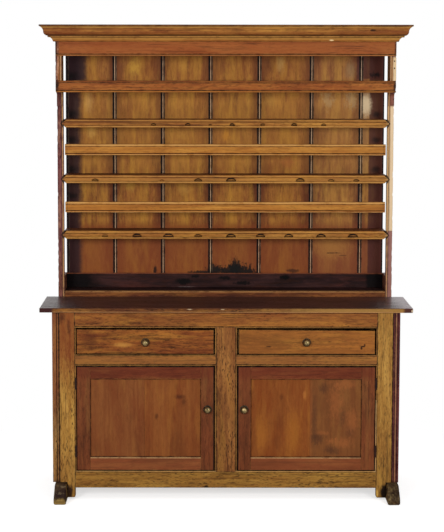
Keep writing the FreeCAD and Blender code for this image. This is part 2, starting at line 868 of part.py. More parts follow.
def make_posts():
    """Rack posts: narrow below, and wide boards with cut brackets where they carry the canopy."""
    canopy_edge = size.canopy_post_reveal - size.canopy_projection
    rail_seat = canopy_edge - size.canopy_post_reveal + size.rack_rail_thickness
    step = -size.bracket_step
    bracket_foot = canopy_rail_low - size.bracket_drop
    scoop_foot = canopy_rail_low - size.bracket_scoop_height
    scoop_radius = (step - rail_seat) * SCOOP_RADIUS_SHARE
    outline = [
        corner(size.post_depth, counter_underside),
        corner(size.post_depth, post_top),
        corner(rail_seat, post_top),
        corner(rail_seat, frieze_low),
        corner(canopy_edge, frieze_low),
        corner(canopy_edge, canopy_rail_high),
        corner(rail_seat, canopy_rail_high),
        corner(rail_seat, canopy_rail_low),
        curve_to(step, scoop_foot, scoop_radius, 1),
        corner(step, bracket_foot),
        corner(ZERO, bracket_foot),
        corner(ZERO, counter_underside),
    ]
    clear = size.joint_clearance
    for word, side in SIDES.items():
        post = Worked(f"rack_post_{word}", post_inner * side, rack_front, ZERO)
        post.pad("YZ", outline, size.post_width, backwards=side == LEFT)
        quirk_near = size.post_bead_width * side
        quirk_far = (size.post_bead_width + size.post_quirk_width) * side
        quirk = rectangle((quirk_near, quirk_far),
                          (size.counter_height, bracket_foot - size.post_quirk_width))
        post.pocket("XZ", [quirk], size.post_quirk_depth)
        points = []
        for top in (shelf_lower_top, shelf_middle_top, shelf_upper_top):
            high = top + clear
            low = top - size.shelf_edge_height - clear
            reach = (size.shelf_edge_point + clear) * side
            points.append([
                corner(-size.overrun * side, low),
                corner(ZERO, low),
                corner(reach, (low + high) / 2),
                corner(ZERO, high),
                corner(-size.overrun * side, high),
            ])
        post.pocket("XZ", points, size.shelf_edge_depth + clear)
        mortises = []
        tenon_near = size.guard_tenon_setback
        tenon_far = tenon_near + size.guard_tenon_thickness
        for low, height in ((guard_lower_low, size.guard_lower_height),
                            (guard_middle_low, size.guard_middle_height)):
            mortises.append(rectangle(
                (tenon_near - clear, tenon_far + clear),
                (low + size.guard_tenon_shoulder - clear,
                 low + height - size.guard_tenon_shoulder + clear)))
        post.pocket("YZ", mortises, size.guard_tenon_length + clear)
        post.finish()


def rail_outline(height):
    """A guard rail's section: a sloped band on top, a flat, a quirk and a bead below."""
    bead = size.rail_bead_height
    quirk_top = bead + size.rail_quirk_height
    slope = size.rail_band_slope
    return [
        corner(size.rack_rail_thickness, ZERO),
        corner(size.rack_rail_thickness, height),
        corner(slope, height),
        corner(ZERO, height - size.rail_band_height),
        corner(ZERO, quirk_top),
        corner(size.rail_quirk_depth, quirk_top),
        corner(size.rail_quirk_depth, bead),
        curve_to(size.rail_quirk_depth, ZERO, bead * BEAD_RADIUS_SHARE, -1),
    ]


def make_guard_rails():
    """Guard rails tenoned between the posts, and the canopy rail let into the post edges."""
    shoulder = post_inner - size.guard_shoulder_gap
    tenon_reach = size.guard_shoulder_gap + size.guard_tenon_length
    tenon_near = size.guard_tenon_setback
    for name, low, height in (("guard_rail_lower", guard_lower_low, size.guard_lower_height),
                              ("guard_rail_middle", guard_middle_low,
                               size.guard_middle_height)):
        rail = Worked(name, -shoulder, rack_front, low)
        rail.pad("YZ", rail_outline(height), shoulder * 2)
        tenon = rectangle((tenon_near, tenon_near + size.guard_tenon_thickness),
                          (size.guard_tenon_shoulder, height - size.guard_tenon_shoulder))
        rail.pad("YZ", tenon, shoulder * 2 + tenon_reach)
        rail.pad("YZ", tenon, tenon_reach, backwards=True)
        rail.finish()
    canopy_rail = Worked("canopy_rail", -half_body, canopy_front, canopy_rail_low)
    canopy_rail.pad("YZ", rail_outline(size.canopy_rail_height), size.body_width)
    canopy_rail.finish()


def make_shelf_edge(name, top, notch_shares, notch_width, notch_height):
    """A round-fronted shelf edge with pointed ends and a row of spoon notches."""
    height = size.shelf_edge_height
    lip = size.shelf_edge_lip
    outline = [
        corner(size.shelf_edge_depth, ZERO),
        corner(size.shelf_edge_depth, height),
        corner(lip, height),
        curve_to(lip, ZERO, height * SHELF_EDGE_RADIUS_SHARE, -1),
    ]
    tip = post_inner + size.shelf_edge_point
    over = size.overrun
    edge = Worked(name, ZERO, rack_front, top - height)
    edge.pad("YZ", outline, tip)
    edge.pad("YZ", outline, tip, backwards=True)
    ends = []
    for side in SIDES.values():
        for level, beyond in ((ZERO, -over), (height, height + over)):
            ends.append([
                corner(tip * side, height / 2),
                corner(post_inner * side, level),
                corner(post_inner * side, beyond),
                corner((tip + over) * side, beyond),
                corner((tip + over) * side, height / 2),
            ])
    edge.pocket("XZ", ends, size.shelf_edge_depth + over)
    foot = height * NOTCH_FOOT_SHARE
    notches = []
    for share in notch_shares:
        middle = post_inner * 2 * share
        notches.append([
            corner(middle - notch_width / 2, foot),
            corner(middle + notch_width / 2, foot),
            corner(middle, foot + notch_height),
        ])
    edge.pocket("XZ", notches, size.notch_depth)
    edge.finish()


def make_shelves():
    """Three shelves, each a thin board with a deeper moulded edge on its front."""
    shelves = (
        ("lower", shelf_lower_top, LOWER_NOTCH_SHARES, size.notch_width, size.notch_height),
        ("middle", shelf_middle_top, MIDDLE_NOTCH_SHARES, size.notch_width,
         size.notch_height),
        ("upper", shelf_upper_top, UPPER_NOTCH_SHARES, size.small_notch_width,
         size.small_notch_height),
    )
    for word, top, notch_shares, notch_width, notch_height in shelves:
        board(f"shelf_{word}", (-post_inner, post_inner),
              (rack_front + size.shelf_edge_depth, back_board_face),
              (top - size.shelf_thickness, top))
        make_shelf_edge(f"shelf_edge_{word}", top, notch_shares, notch_width, notch_height)


def make_rack_base():
    """The sill, floor, plinth board and end boards at the foot of the rack."""
    between = (-post_inner, post_inner)
    rounding = size.rack_sill_rounding
    sill_height = sill_top - counter_underside
    outline = [
        corner(size.rack_rail_thickness, ZERO),
        corner(size.rack_rail_thickness, sill_height),
        corner(rounding, sill_height),
        curve_to(ZERO, sill_height - rounding, rounding, -1),
        corner(ZERO, ZERO),
    ]
    sill = Worked("rack_sill", -post_inner, rack_front, counter_underside)
    sill.pad("YZ", outline, post_inner * 2)
    sill.finish()
    board("rack_floor", between, (rack_rail_back, back_board_face),
          (sill_top - size.rack_floor_thickness, sill_top))
    board("rack_plinth", between, (back_board_face - size.plinth_thickness, back_board_face),
          (sill_top, plinth_top))
    ends = []
    for word, side in SIDES.items():
        ends.append(box(f"rack_end_{word}", on_side(side, post_inner, half_body),
                        (post_back, back), (counter_underside, plinth_top)))
    group("rack_end_boards", ends)


def make_rack_back():
    """Upright back boards, each with a bead and a quirk along one edge."""
    bead = size.back_bead_width
    quirk = size.back_quirk_width
    depth = size.back_quirk_depth
    chamfer = size.back_edge_chamfer
    thickness = size.back_board_thickness
    whole = post_inner * 2
    boards = []
    low = -post_inner
    for number in range(len(BACK_BOARD_SHARES) + 1):
        if number < len(BACK_BOARD_SHARES):
            high = low + whole * BACK_BOARD_SHARES[number]
        else:
            high = post_inner
        width = high - low
        outline = [
            corner(ZERO, thickness),
            corner(ZERO, depth),
            curve_to(bead, depth, bead * BEAD_RADIUS_SHARE, -1),
            corner(bead + quirk / 2, depth + quirk / 2),
            corner(bead + quirk, ZERO),
            corner(width - chamfer, ZERO),
            corner(width, chamfer),
            corner(width, thickness),
        ]
        plank = Worked(f"rack_back_board_{number + 1}", low, back_board_face,
                       counter_underside)
        plank.pad("XY", outline, post_top - counter_underside)
        boards.append(plank.body)
        low = high
    group("rack_back_boards", boards)


def cornice_outline(turn):
    """The cornice's section, standing out to the left (-1) or right (1) of its back."""
    out = size.cornice_projection * turn
    height = size.cornice_height
    return [
        corner(ZERO, ZERO),
        corner(out * CORNICE_OVOLO_OUT_SHARE, ZERO),
        curve_to(out * CORNICE_OVOLO_TOP_OUT_SHARE, height * CORNICE_OVOLO_TOP_SHARE,
                 height * CORNICE_OVOLO_RADIUS_SHARE, -turn),
        corner(out * CORNICE_FILLET_OUT_SHARE, height * CORNICE_OVOLO_TOP_SHARE),
        corner(out * CORNICE_FILLET_OUT_SHARE, height * CORNICE_FILLET_TOP_SHARE),
        curve_to(out * CORNICE_CYMA_MID_OUT_SHARE, height * CORNICE_CYMA_MID_SHARE,
                 height * CORNICE_CYMA_FOOT_RADIUS_SHARE, turn),
        curve_to(out * CORNICE_CYMA_TOP_OUT_SHARE, height * CORNICE_CYMA_TOP_SHARE,
                 height * CORNICE_CYMA_HEAD_RADIUS_SHARE, -turn),
        corner(out, height * CORNICE_CYMA_TOP_SHARE),
        corner(out, height),
        corner(ZERO, height),
    ]


def make_canopy():
    """Frieze, dust board and a mitred cornice round the front and sides."""
    frieze = Worked("frieze", -half_body, canopy_front, frieze_low)
    bead = size.rail_bead_height
    quirk_top = bead + size.rail_quirk_height
    board_height = post_top - frieze_low
    frieze.pad("YZ", [
        corner(size.rack_rail_thickness, ZERO),
        corner(size.rack_rail_thickness, board_height),
        corner(ZERO, board_height),
        corner(ZERO, quirk_top),
        corner(size.rail_quirk_depth, quirk_top),
        corner(size.rail_quirk_depth, bead),
        curve_to(size.rail_quirk_depth, ZERO, bead * BEAD_RADIUS_SHARE, -1),
    ], size.body_width)
    frieze.finish()
    board("dust_board", (-half_body, half_body), (canopy_front, back), (post_top, dresser_top))

    out = size.cornice_projection
    over = size.overrun
    reach = half_body + out
    front_piece = Worked("cornice_front", ZERO, canopy_front, cornice_low)
    front_piece.pad("YZ", cornice_outline(LEFT), reach)
    front_piece.pad("YZ", cornice_outline(LEFT), reach, backwards=True)
    mitres = []
    for side in SIDES.values():
        mitres.append([
            corner((half_body - over) * side, over),
            corner((reach + over) * side, -out - over),
            corner((reach + over) * side, over),
        ])
    front_piece.pocket("XY", mitres, size.cornice_height + over)
    front_piece.finish()
    returns = []
    for word, side in SIDES.items():
        piece = Worked(f"cornice_{word}", half_body * side, canopy_front, cornice_low)
        piece.pad("XZ", cornice_outline(side), back - canopy_front, backwards=True)
        piece.pad("XZ", cornice_outline(side), out)
        piece.pocket("XY", [[
            corner(-over * side, over),
            corner(-over * side, -out - over),
            corner((out + over) * side, -out - over),
        ]], size.cornice_height + over)
        returns.append(piece.body)
    group("cornice_sides", returns)


def check_document():
    """Stop if any object failed, any cut removed nothing or any sub-part isn't sound."""
    for item in doc.Objects:
        if "Invalid" in item.State or "Error" in item.State:
            raise RuntimeError(f"{item.Label} failed: {item.State}")
        if item.TypeId == "PartDesign::Pocket":
            before = item.BaseFeature.Shape.Volume
            if not item.Shape.Volume < before:
                raise RuntimeError(f"{item.Label} cut nothing")
    for item in nodes:
        if item.Shape.isNull() or not item.Shape.isValid():
            raise RuntimeError(f"{item.Label} is not a sound shape")
        if not item.Shape.Solids:
            raise RuntimeError(f"{item.Label} holds no solid")


def export_nodes():
    os.makedirs("parts", exist_ok=True)
    for item in nodes:
        item.Shape.exportStep(f"parts/{item.Label}.step")
    solids = sum(len(item.Shape.Solids) for item in nodes)
    print(f"{len(nodes)} sub-parts, {solids} solids")


make_sides()
make_feet()
make_face_frame()
make_opening_beads()
make_counter()
make_cupboard()
make_drawer_bearers()
for drawer_word, drawer_side in SIDES.items():
    make_drawer(drawer_word, drawer_side)
make_door("left", LEFT, LEFT_PANEL_JOINT_SHARE)
make_door("right", RIGHT, RIGHT_PANEL_JOINT_SHARE)
make_hinges()
make_posts()
make_guard_rails()
make_shelves()
make_rack_base()
make_rack_back()
make_canopy()

doc.recompute()
check_document()
export_nodes()
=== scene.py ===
import functools
import itertools
import math

import bpy
import numpy as np
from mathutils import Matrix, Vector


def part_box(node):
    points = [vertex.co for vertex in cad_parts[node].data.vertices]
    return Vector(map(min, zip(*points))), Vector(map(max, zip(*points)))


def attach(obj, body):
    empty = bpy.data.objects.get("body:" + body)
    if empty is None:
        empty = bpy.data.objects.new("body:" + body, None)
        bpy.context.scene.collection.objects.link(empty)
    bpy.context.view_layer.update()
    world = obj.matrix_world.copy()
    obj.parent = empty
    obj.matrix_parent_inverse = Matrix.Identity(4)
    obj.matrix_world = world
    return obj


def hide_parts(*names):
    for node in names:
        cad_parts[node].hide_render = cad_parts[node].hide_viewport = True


# The looks of a country dresser of old waxed pine. Lengths are in metres, in the frame of the
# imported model: X to the right, Y to the back, Z up, with the floor at zero.

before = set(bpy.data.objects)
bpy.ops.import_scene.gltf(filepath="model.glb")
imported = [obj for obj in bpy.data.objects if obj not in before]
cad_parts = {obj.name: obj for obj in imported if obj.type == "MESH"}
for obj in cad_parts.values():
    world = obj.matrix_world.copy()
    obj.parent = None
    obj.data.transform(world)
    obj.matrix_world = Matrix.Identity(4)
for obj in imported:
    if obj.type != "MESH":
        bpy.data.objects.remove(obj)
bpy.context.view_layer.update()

LEFT = -1
RIGHT = 1
SIDES = {"left": LEFT, "right": RIGHT}
AXES = {"x": 0, "y": 1, "z": 2}

# Mesh density and the look of cut edges.
COARSE_STEP = 0.014
EDGE_RADIUS = 0.0011
ROUNDING_SHARES = (0.0, 0.3, 0.65)
CORNER_SHARES = (0, 0.33, 0.67, 1)
EDGE_LINES = (0.0, 0.0012, 0.003, 0.006)
WAVE_SIZE = 0.03
BITE_SIZE = 0.02
END_TOUCH = 0.0006
SMOOTH_ANGLE = 40
FAR = 0.2
TINY = 1e-9
# How far a piece's grain is moved along each axis for each step of its seed.
GRAIN_SHIFT = np.array([1.37, 0.713, 0.391])
# A range that ends here is open on that side.
OPEN = 9.0
EVERYWHERE = (-OPEN, OPEN)

# Numbers that scramble the corners of the noise lattice.
LATTICE_WEIGHTS = np.array([127.1, 311.7, 74.7])
LATTICE_SEED = 53.3
LATTICE_SPREAD = 43758.5453


def lattice(cells, seed):
    mixed = np.sin(cells @ LATTICE_WEIGHTS + seed * LATTICE_SEED) * LATTICE_SPREAD
    return mixed - np.floor(mixed)


def noise(points, size, seed):
    """Smooth noise from -1 to 1 in lumps of the given size."""
    scaled = points / size
    base = np.floor(scaled)
    part = scaled - base
    part = part * part * (3 - 2 * part)
    total = np.zeros(len(points))
    for corner in itertools.product((0, 1), repeat=3):
        share = np.where(corner, part, 1 - part).prod(axis=1)
        total += share * lattice(base + np.array(corner), seed)
    return total * 2 - 1


def smooth_step(value, low, high):
    share = np.clip((value - low) / (high - low), 0, 1)
    return share * share * (3 - 2 * share)


def corners_of(node):
    low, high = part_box(node)
    return np.array(low), np.array(high)


class Form:
    """Points, faces and what the materials read from each point."""

    def __init__(self, points, faces, edge, hollow=None):
        self.points = points
        self.faces = faces
        self.edge = edge
        self.hollow = np.full(len(points), FAR) if hollow is None else hollow
        self.pale = np.zeros(len(points))
        self.front = None

    def lighten(self, axis, low, high, soft=0.001):
        """Mark the points between two places on an axis for a painted highlight."""
        value = self.points[:, AXES[axis]]
        inside = smooth_step(value, low - soft, low) * (1 - smooth_step(value, high, high + soft))
        self.pale = np.maximum(self.pale, inside)

    def groove(self, axis, places):
        """Mark lines on an axis as hollows, darkened with painted shade and dirt."""
        value = self.points[:, AXES[axis]]
        for place in places:
            self.hollow = np.minimum(self.hollow, np.abs(value - place))


def spread(low, high, step, radius):
    """Grid lines between two places, closer together at the rounded ends."""
    most = (high - low) * 0.3
    ends = np.array([radius * share for share in ROUNDING_SHARES]
                    + [radius + extra for extra in EDGE_LINES if radius + extra < most])
    start = ends[-1]
    count = max(1, round((high - low - 2 * start) / step))
    inner = np.linspace(low + start, high - start, count + 1)[1:-1]
    return np.concatenate([low + ends, inner, (high - ends)[::-1]])


def skin(keep):
    """Corner triples of the quads between kept and empty cells of a grid."""
    padded = np.pad(keep, 1).astype(int)
    quads = []
    for axis in range(3):
        second, third = (axis + 1) % 3, (axis + 2) % 3
        change = np.diff(padded, axis=axis)
        for sign in (-1, 1):
            found = np.argwhere(change == sign)
            found[:, second] -= 1
            found[:, third] -= 1
            ring = [found.copy() for _ in range(4)]
            ring[1][:, second] += 1
            ring[2][:, second] += 1
            ring[2][:, third] += 1
            ring[3][:, third] += 1
            if sign > 0:
                ring.reverse()
            quads.append(np.stack(ring, axis=1))
    return np.concatenate(quads)


def block(low, high, step=COARSE_STEP, radius=EDGE_RADIUS, seed=0, cuts=(), rough=0.35,
          wear=0.0):
    """A board with rounded and unevenly worn edges, less any boxes cut out of it."""
    wear_contrast, wear_start, most = 1.6, 0.5, 0.45
    low, high = np.array(low, float), np.array(high, float)
    lines = [spread(low[a], high[a], step, radius) for a in range(3)]
    for cut_low, cut_high in cuts:
        for a in range(3):
            extra = [v for v in (cut_low[a], cut_high[a]) if low[a] < v < high[a]]
            lines[a] = np.unique(np.concatenate([lines[a], extra]))
    middles = np.meshgrid(*[(line[1:] + line[:-1]) / 2 for line in lines], indexing="ij")
    keep = np.ones(middles[0].shape, bool)
    for cut_low, cut_high in cuts:
        inside = [(middles[a] > cut_low[a]) & (middles[a] < cut_high[a]) for a in range(3)]
        keep &= ~(inside[0] & inside[1] & inside[2])
    quads = skin(keep)
    counts = [len(line) for line in lines]
    flat = (quads[..., 0] * counts[1] + quads[..., 1]) * counts[2] + quads[..., 2]
    used, faces = np.unique(flat, return_inverse=True)
    faces = faces.reshape(-1, 4)
    index = np.stack([used // (counts[1] * counts[2]), used // counts[2] % counts[1],
                      used % counts[2]], axis=1)
    points = np.stack([lines[a][index[:, a]] for a in range(3)], axis=1)
    gaps = np.minimum(points - low, high - points)
    edge = np.sort(gaps, axis=1)[:, 1]
    around = radius * (1 + rough * noise(points, WAVE_SIZE, seed + 1))
    if wear:
        bite = np.clip(noise(points, BITE_SIZE, seed + 2) * wear_contrast - wear_start, 0, 1)
        around = around + wear * bite
    around = np.minimum(around, (high - low).min() * most)[:, None]
    centre = np.clip(points, low + around, high - around)
    away = points - centre
    length = np.linalg.norm(away, axis=1, keepdims=True)
    points = centre + away / np.maximum(length, TINY) * np.where(length > 0, around, 0)
    return Form(points, faces.tolist(), edge)


def outline(corners, radius, step):
    """A closed outline with rounded corners.

    A corner is (a, b), or (a, b, 0) where the outline is smooth. The result is the points, their
    outward normals, and how far each lies from a sharp edge and from a sharp hollow.
    """
    marks = [tuple(c) + (1,) if len(c) == 2 else tuple(c) for c in corners]
    place = np.array([m[:2] for m in marks], float)
    sharp = np.array([m[2] for m in marks]) > 0
    count = len(place)
    area = 0.0
    for i in range(count):
        here, after = place[i], place[(i + 1) % count]
        area += here[0] * after[1] - after[0] * here[1]
    turn = 1 if area > 0 else -1
    ring, convex, concave = [], [], []
    for i in range(count):
        before, here, after = place[i - 1], place[i], place[(i + 1) % count]
        back, on = before - here, after - here
        back_length, on_length = np.linalg.norm(back), np.linalg.norm(on)
        if sharp[i]:
            cross = (-back[0] * on[1] + back[1] * on[0]) * turn
            (convex if cross > 0 else concave).append(here)
            reach = min(radius, 0.4 * back_length, 0.4 * on_length)
            start = here + back / back_length * reach
            end = here + on / on_length * reach
            for share in CORNER_SHARES:
                ring.append(start * (1 - share) ** 2 + here * 2 * share * (1 - share)
                            + end * share ** 2)
        else:
            ring.append(here)
    points = []
    for i, here in enumerate(ring):
        after = ring[(i + 1) % len(ring)]
        parts = max(1, math.ceil(np.linalg.norm(after - here) / step))
        for part in range(parts):
            points.append(here + (after - here) * part / parts)
    points = np.array(points)
    along = np.roll(points, -1, axis=0) - np.roll(points, 1, axis=0)
    along /= np.maximum(np.linalg.norm(along, axis=1, keepdims=True), TINY)
    normals = np.stack([along[:, 1], -along[:, 0]], axis=1) * turn

    def nearest(places):
        if not places:
            return np.full(len(points), FAR)
        gaps = points[:, None, :] - np.array(places)[None, :, :]
        return np.linalg.norm(gaps, axis=2).min(axis=1)

    return points, normals, nearest(convex), nearest(concave)


def arc(start, end, radius, bulge, count=6):
    """Smooth outline corners between two points, bulging left (1) or right (-1) of the way."""
    start, end = np.array(start, float), np.array(end, float)
    chord = end - start
    half = np.linalg.norm(chord) / 2
    left = np.array([-chord[1], chord[0]]) / (2 * half)
    centre = (start + end) / 2 - left * math.sqrt(max(radius ** 2 - half ** 2, 0)) * bulge
    first = math.atan2(*(start - centre)[::-1])
    last = math.atan2(*(end - centre)[::-1])
    sweep = (last - first + math.pi) % (2 * math.pi) - math.pi
    result = []
    for number in range(1, count):
        angle = first + sweep * number / count
        result.append((centre[0] + radius * math.cos(angle),
                       centre[1] + radius * math.sin(angle), 0))
    return result


def rings(rows, count):
    """The quads between rings of points that follow one another, and the points' numbers."""
    index = np.arange(rows * count).reshape(rows, count)
    here, after = index[:-1], index[1:]
    quads = np.stack([here, np.roll(here, -1, axis=1), np.roll(after, -1, axis=1), after], axis=2)
    return quads.reshape(-1, 4), index


def run(section, stations, place, end_radius=0.0):
    """A moulding: an outline carried along stations, closed at both ends."""
    points, normals, edge, hollow = section
    stations = np.array(stations, float)
    insets = np.zeros(len(stations))
    if end_radius:
        first, last = stations[0], stations[-1]
        sign = 1 if last > first else -1
        steps = end_radius * np.array(ROUNDING_SHARES)
        inner = stations[(np.abs(stations - first) > end_radius)
                         & (np.abs(stations - last) > end_radius)]
        stations = np.concatenate([first + sign * steps, [first + sign * end_radius], inner,
                                   [last - sign * end_radius], (last - sign * steps)[::-1]])
        depth = end_radius - np.sqrt(np.maximum(
            end_radius ** 2 - (end_radius - steps) ** 2, 0))
        insets = np.zeros(len(stations))
        insets[:len(steps)] = depth
        insets[-len(steps):] = depth[::-1]
    rows, count = len(stations), len(points)
    across = points[None, :, :] - normals[None, :, :] * insets[:, None, None]
    where = np.repeat(stations, count)
    made = place(where, across[..., 0].ravel(), across[..., 1].ravel())
    quads, index = rings(rows, count)
    faces = quads.tolist()
    faces.append(index[0][::-1].tolist())
    faces.append(index[-1].tolist())
    from_end = np.minimum(np.abs(where - stations[0]), np.abs(where - stations[-1]))
    edge = np.minimum(np.tile(edge, rows), from_end + 0.0004)
    return Form(made, faces, edge, np.tile(hollow, rows))


def even(low, high, step):
    """Stations at even gaps between two places."""
    return np.linspace(low, high, max(2, round((high - low) / step) + 1))


def lengthwise(where, a, b):
    """Place a section drawn in (y, z) along X."""
    return np.stack([where, a, b], axis=1)


def level(where, a, b):
    """Place a section drawn in (z, y) along X."""
    return np.stack([where, b, a], axis=1)


def upright(where, a, b):
    """Place a section drawn in (x, y) along Z."""
    return np.stack([a, b, where], axis=1)


def lathe(profile, centre):
    """A turned piece on an axis that points to the front: (reach, radius) pairs."""
    segments = 40
    points, faces = [], []
    for reach, radius in profile:
        for number in range(segments):
            angle = 2 * math.pi * number / segments
            points.append((centre[0] + radius * math.cos(angle), centre[1] - reach,
                           centre[2] + radius * math.sin(angle)))
    for row in range(len(profile) - 1):
        for number in range(segments):
            after = (number + 1) % segments
            faces.append([row * segments + number, row * segments + after,
                          (row + 1) * segments + after, (row + 1) * segments + number])
    faces.append(list(range(segments))[::-1])
    last = (len(profile) - 1) * segments
    faces.append(list(range(last, last + segments)))
    points = np.array(points)
    return Form(points, faces, np.full(len(points), FAR))


def store(mesh, name, kind, values):
    attribute = mesh.attributes.new(name, kind, "POINT")
    field = "vector" if kind == "FLOAT_VECTOR" else "value"
    attribute.data.foreach_set(field, np.asarray(values, np.float32).ravel())


def add(name, data):
    """Put an object of some data into the scene."""
    made = bpy.data.objects.new(name, data)
    bpy.context.scene.collection.objects.link(made)
    return made


def piece(name, form, material, stands_for, along="x", seed=0, tint=(0, 0),
          body="carcass"):
    """Make an object of a form, and write down its grain, tint and edges for the materials."""
    mesh = bpy.data.meshes.new(name)
    mesh.from_pydata(form.points.tolist(), [], form.faces)
    mesh.polygons.foreach_set("use_smooth", [True] * len(mesh.polygons))
    mesh.set_sharp_from_angle(angle=math.radians(SMOOTH_ANGLE))
    first = AXES[along]
    order = [first, (first + 1) % 3, (first + 2) % 3]
    low, high = form.points.min(axis=0), form.points.max(axis=0)
    centred = (form.points - (low + high) / 2)[:, order]
    extent = (high - low)[order]
    wide = 1 if extent[1] >= extent[2] else 2
    front = low[1] if form.front is None else form.front
    at_end = np.abs(np.abs(centred[:, 0]) - extent[0] / 2) < END_TOUCH
    count = len(form.points)
    store(mesh, "grain", "FLOAT_VECTOR", centred + seed * GRAIN_SHIFT)
    store(mesh, "edge", "FLOAT", form.edge)
    store(mesh, "hollow", "FLOAT", form.hollow)
    store(mesh, "pale", "FLOAT", form.pale)
    store(mesh, "depth", "FLOAT", form.points[:, 1] - front)
    store(mesh, "span", "FLOAT", centred[:, wide] / (extent[wide] / 2))
    store(mesh, "tint", "FLOAT_VECTOR",
          np.stack([np.full(count, tint[0]), np.full(count, tint[1]), at_end], axis=1))
    mesh.materials.append(material)
    made = add(name, mesh)
    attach(made, body)
    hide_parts(*stands_for)
    return made


def linear(text):
    """A colour written as six hex digits, as linear values."""
    parts = [int(text[i:i + 2], 16) / 255 for i in (0, 2, 4)]
    return tuple(p / 12.92 if p <= 0.04045 else ((p + 0.055) / 1.055) ** 2.4
                 for p in parts) + (1.0,)


class Graph:
    """A material's node tree, with short calls for the nodes used here."""

    def __init__(self, name):
        self.material = bpy.data.materials.new(name)
        self.material.use_nodes = True
        self.tree = self.material.node_tree
        self.shader = self.tree.nodes["Principled BSDF"]

    def put(self, socket, value):
        if isinstance(value, bpy.types.NodeSocket):
            self.tree.links.new(value, socket)
        else:
            socket.default_value = value

    def node(self, kind, settings, sockets, result=0):
        node = self.tree.nodes.new(kind)
        for key, value in settings.items():
            setattr(node, key, value)
        for key, value in sockets.items():
            self.put(node.inputs[key], value)
        return node.outputs[result]

    def math(self, operation, *values):
        sockets = dict(enumerate(values))
        return self.node("ShaderNodeMath", {"operation": operation}, sockets)

    def attribute(self, name, result="Fac"):
        return self.node("ShaderNodeAttribute", {"attribute_name": name}, {}, result)

    def place(self):
        return self.node("ShaderNodeTexCoord", {}, {}, "Object")

    def parts(self, vector):
        node = self.tree.nodes.new("ShaderNodeSeparateXYZ")
        self.put(node.inputs[0], vector)
        return node.outputs[0], node.outputs[1], node.outputs[2]

    def join(self, x, y, z):
        return self.node("ShaderNodeCombineXYZ", {}, {0: x, 1: y, 2: z})

    def stretch(self, vector, scale, location=(0, 0, 0)):
        return self.node("ShaderNodeMapping", {}, {"Vector": vector, "Scale": scale,
                                                   "Location": location})

    def shade(self, settings):
        """Give the shader's inputs a value each, or another node's result."""
        for key, value in settings.items():
            self.put(self.shader.inputs[key], value)

    def noise(self, vector, scale, detail=2.0, roughness=0.5):
        return self.node("ShaderNodeTexNoise", {}, {
            "Vector": self.stretch(vector, scale), "Scale": 1.0, "Detail": detail,
            "Roughness": roughness, "Distortion": 0.0})

    def band(self, value, low, high, bottom=0.0, top=1.0):
        return self.node("ShaderNodeMapRange", {"interpolation_type": "SMOOTHSTEP"}, {
            0: value, 1: low, 2: high, 3: bottom, 4: top})

    def bumps(self, strength, distance, height):
        return self.node("ShaderNodeBump", {}, {"Strength": strength, "Distance": distance,
                                                "Height": height})

    def mix(self, share, first, second):
        return self.node("ShaderNodeMix", {"data_type": "RGBA"},
                         {0: share, 6: first, 7: second}, 2)

    def tint(self, colour, mask, paint):
        """Lay a paint, a colour with a strength, over a colour through a mask."""
        share = self.math("MULTIPLY", mask, paint[1])
        return self.mix(share, colour, linear(paint[0]))

    def ramp(self, value, stops):
        node = self.tree.nodes.new("ShaderNodeValToRGB")
        self.put(node.inputs[0], value)
        elements = node.color_ramp.elements
        while len(elements) < len(stops):
            elements.new(0.5)
        for element, (position, colour) in zip(elements, stops):
            element.position = position
            element.color = linear(colour)
        return node.outputs[0]


def ellipse(g, x, z, centre, size, soft, ragged, lumps):
    """A mask round a place on the dresser's front: 1 inside, 0 outside, with a ragged rim."""
    across = g.math("DIVIDE", g.math("SUBTRACT", x, centre[0]), size[0])
    up = g.math("DIVIDE", g.math("SUBTRACT", z, centre[1]), size[1])
    away = g.math("SQRT", g.math("ADD", g.math("MULTIPLY", across, across),
                                 g.math("MULTIPLY", up, up)))
    away = g.math("MULTIPLY_ADD", g.math("SUBTRACT", lumps, 0.5), ragged, away)
    return g.band(away, 1.0 - soft, 1.0, 1.0, 0.0)


def pane(g, x, z, across, up, soft, lumps):
    """A mask over a range of x and a range of z, with soft and slightly uneven rims."""
    total = None
    for value, (low, high) in ((x, across), (z, up)):
        uneven = g.math("MULTIPLY_ADD", g.math("SUBTRACT", lumps, 0.5), soft * 1.5, value)
        for place, ends in ((low, (0.0, 1.0)), (high, (1.0, 0.0))):
            if abs(place) < OPEN:
                band = g.band(uneven, place - soft, place + soft, *ends)
                total = g.math("MULTIPLY", total, band) if total else band
    return total


# Colours that all the pine shares.
RING_COLOUR = "2c160c"
GRIT_COLOUR = "34190c"
DASH_COLOUR = "1e100a"
END_GRAIN = ("3a2212", 0.4)
# How far the plain grain covers the faces behind the front.
PLAIN_SHARE = 0.8
BUMP_HEIGHT = 0.0012
COAT_ROUGHNESS = 0.12

# The look of the pine where a material doesn't say otherwise. A paint is a colour with a
# strength, and for wear, and for dirt with painted shade, also its reach in from an edge.
PLAIN_LOOK = {
    "gloss": 0.45,
    "sheen": 0.07,
    "coat": 0.0,
    "bump": 0.3,
    "contrast": 1.0,
    "blotch": ("6a3a1c", 0.35),
    "smudge": ("3c1c10", 0.35),
    "gold": ("b07c34", 0.25),
    "lines": 0.5,
    "specks": 0.6,
    "grit": 0.45,
    "dapple": 0.0,
    "glow": None,
    "rim": None,
    # A painted highlight on the beads, arrises and rounded faces marked by lighten.
    "pale": ("c09858", 0.0),
    "wear": ("b08448", 0.25, 0.0012),
    # Dirt and painted shade beside the edges, and painted shade and dirt in the hollows.
    "dirt": ("140b08", 0.85, 0.0022),
    "hollow_dirt": ("100806", 0.9, 0.0022),
    "marks": (),
    "panes": (),
    "behind": None,
}


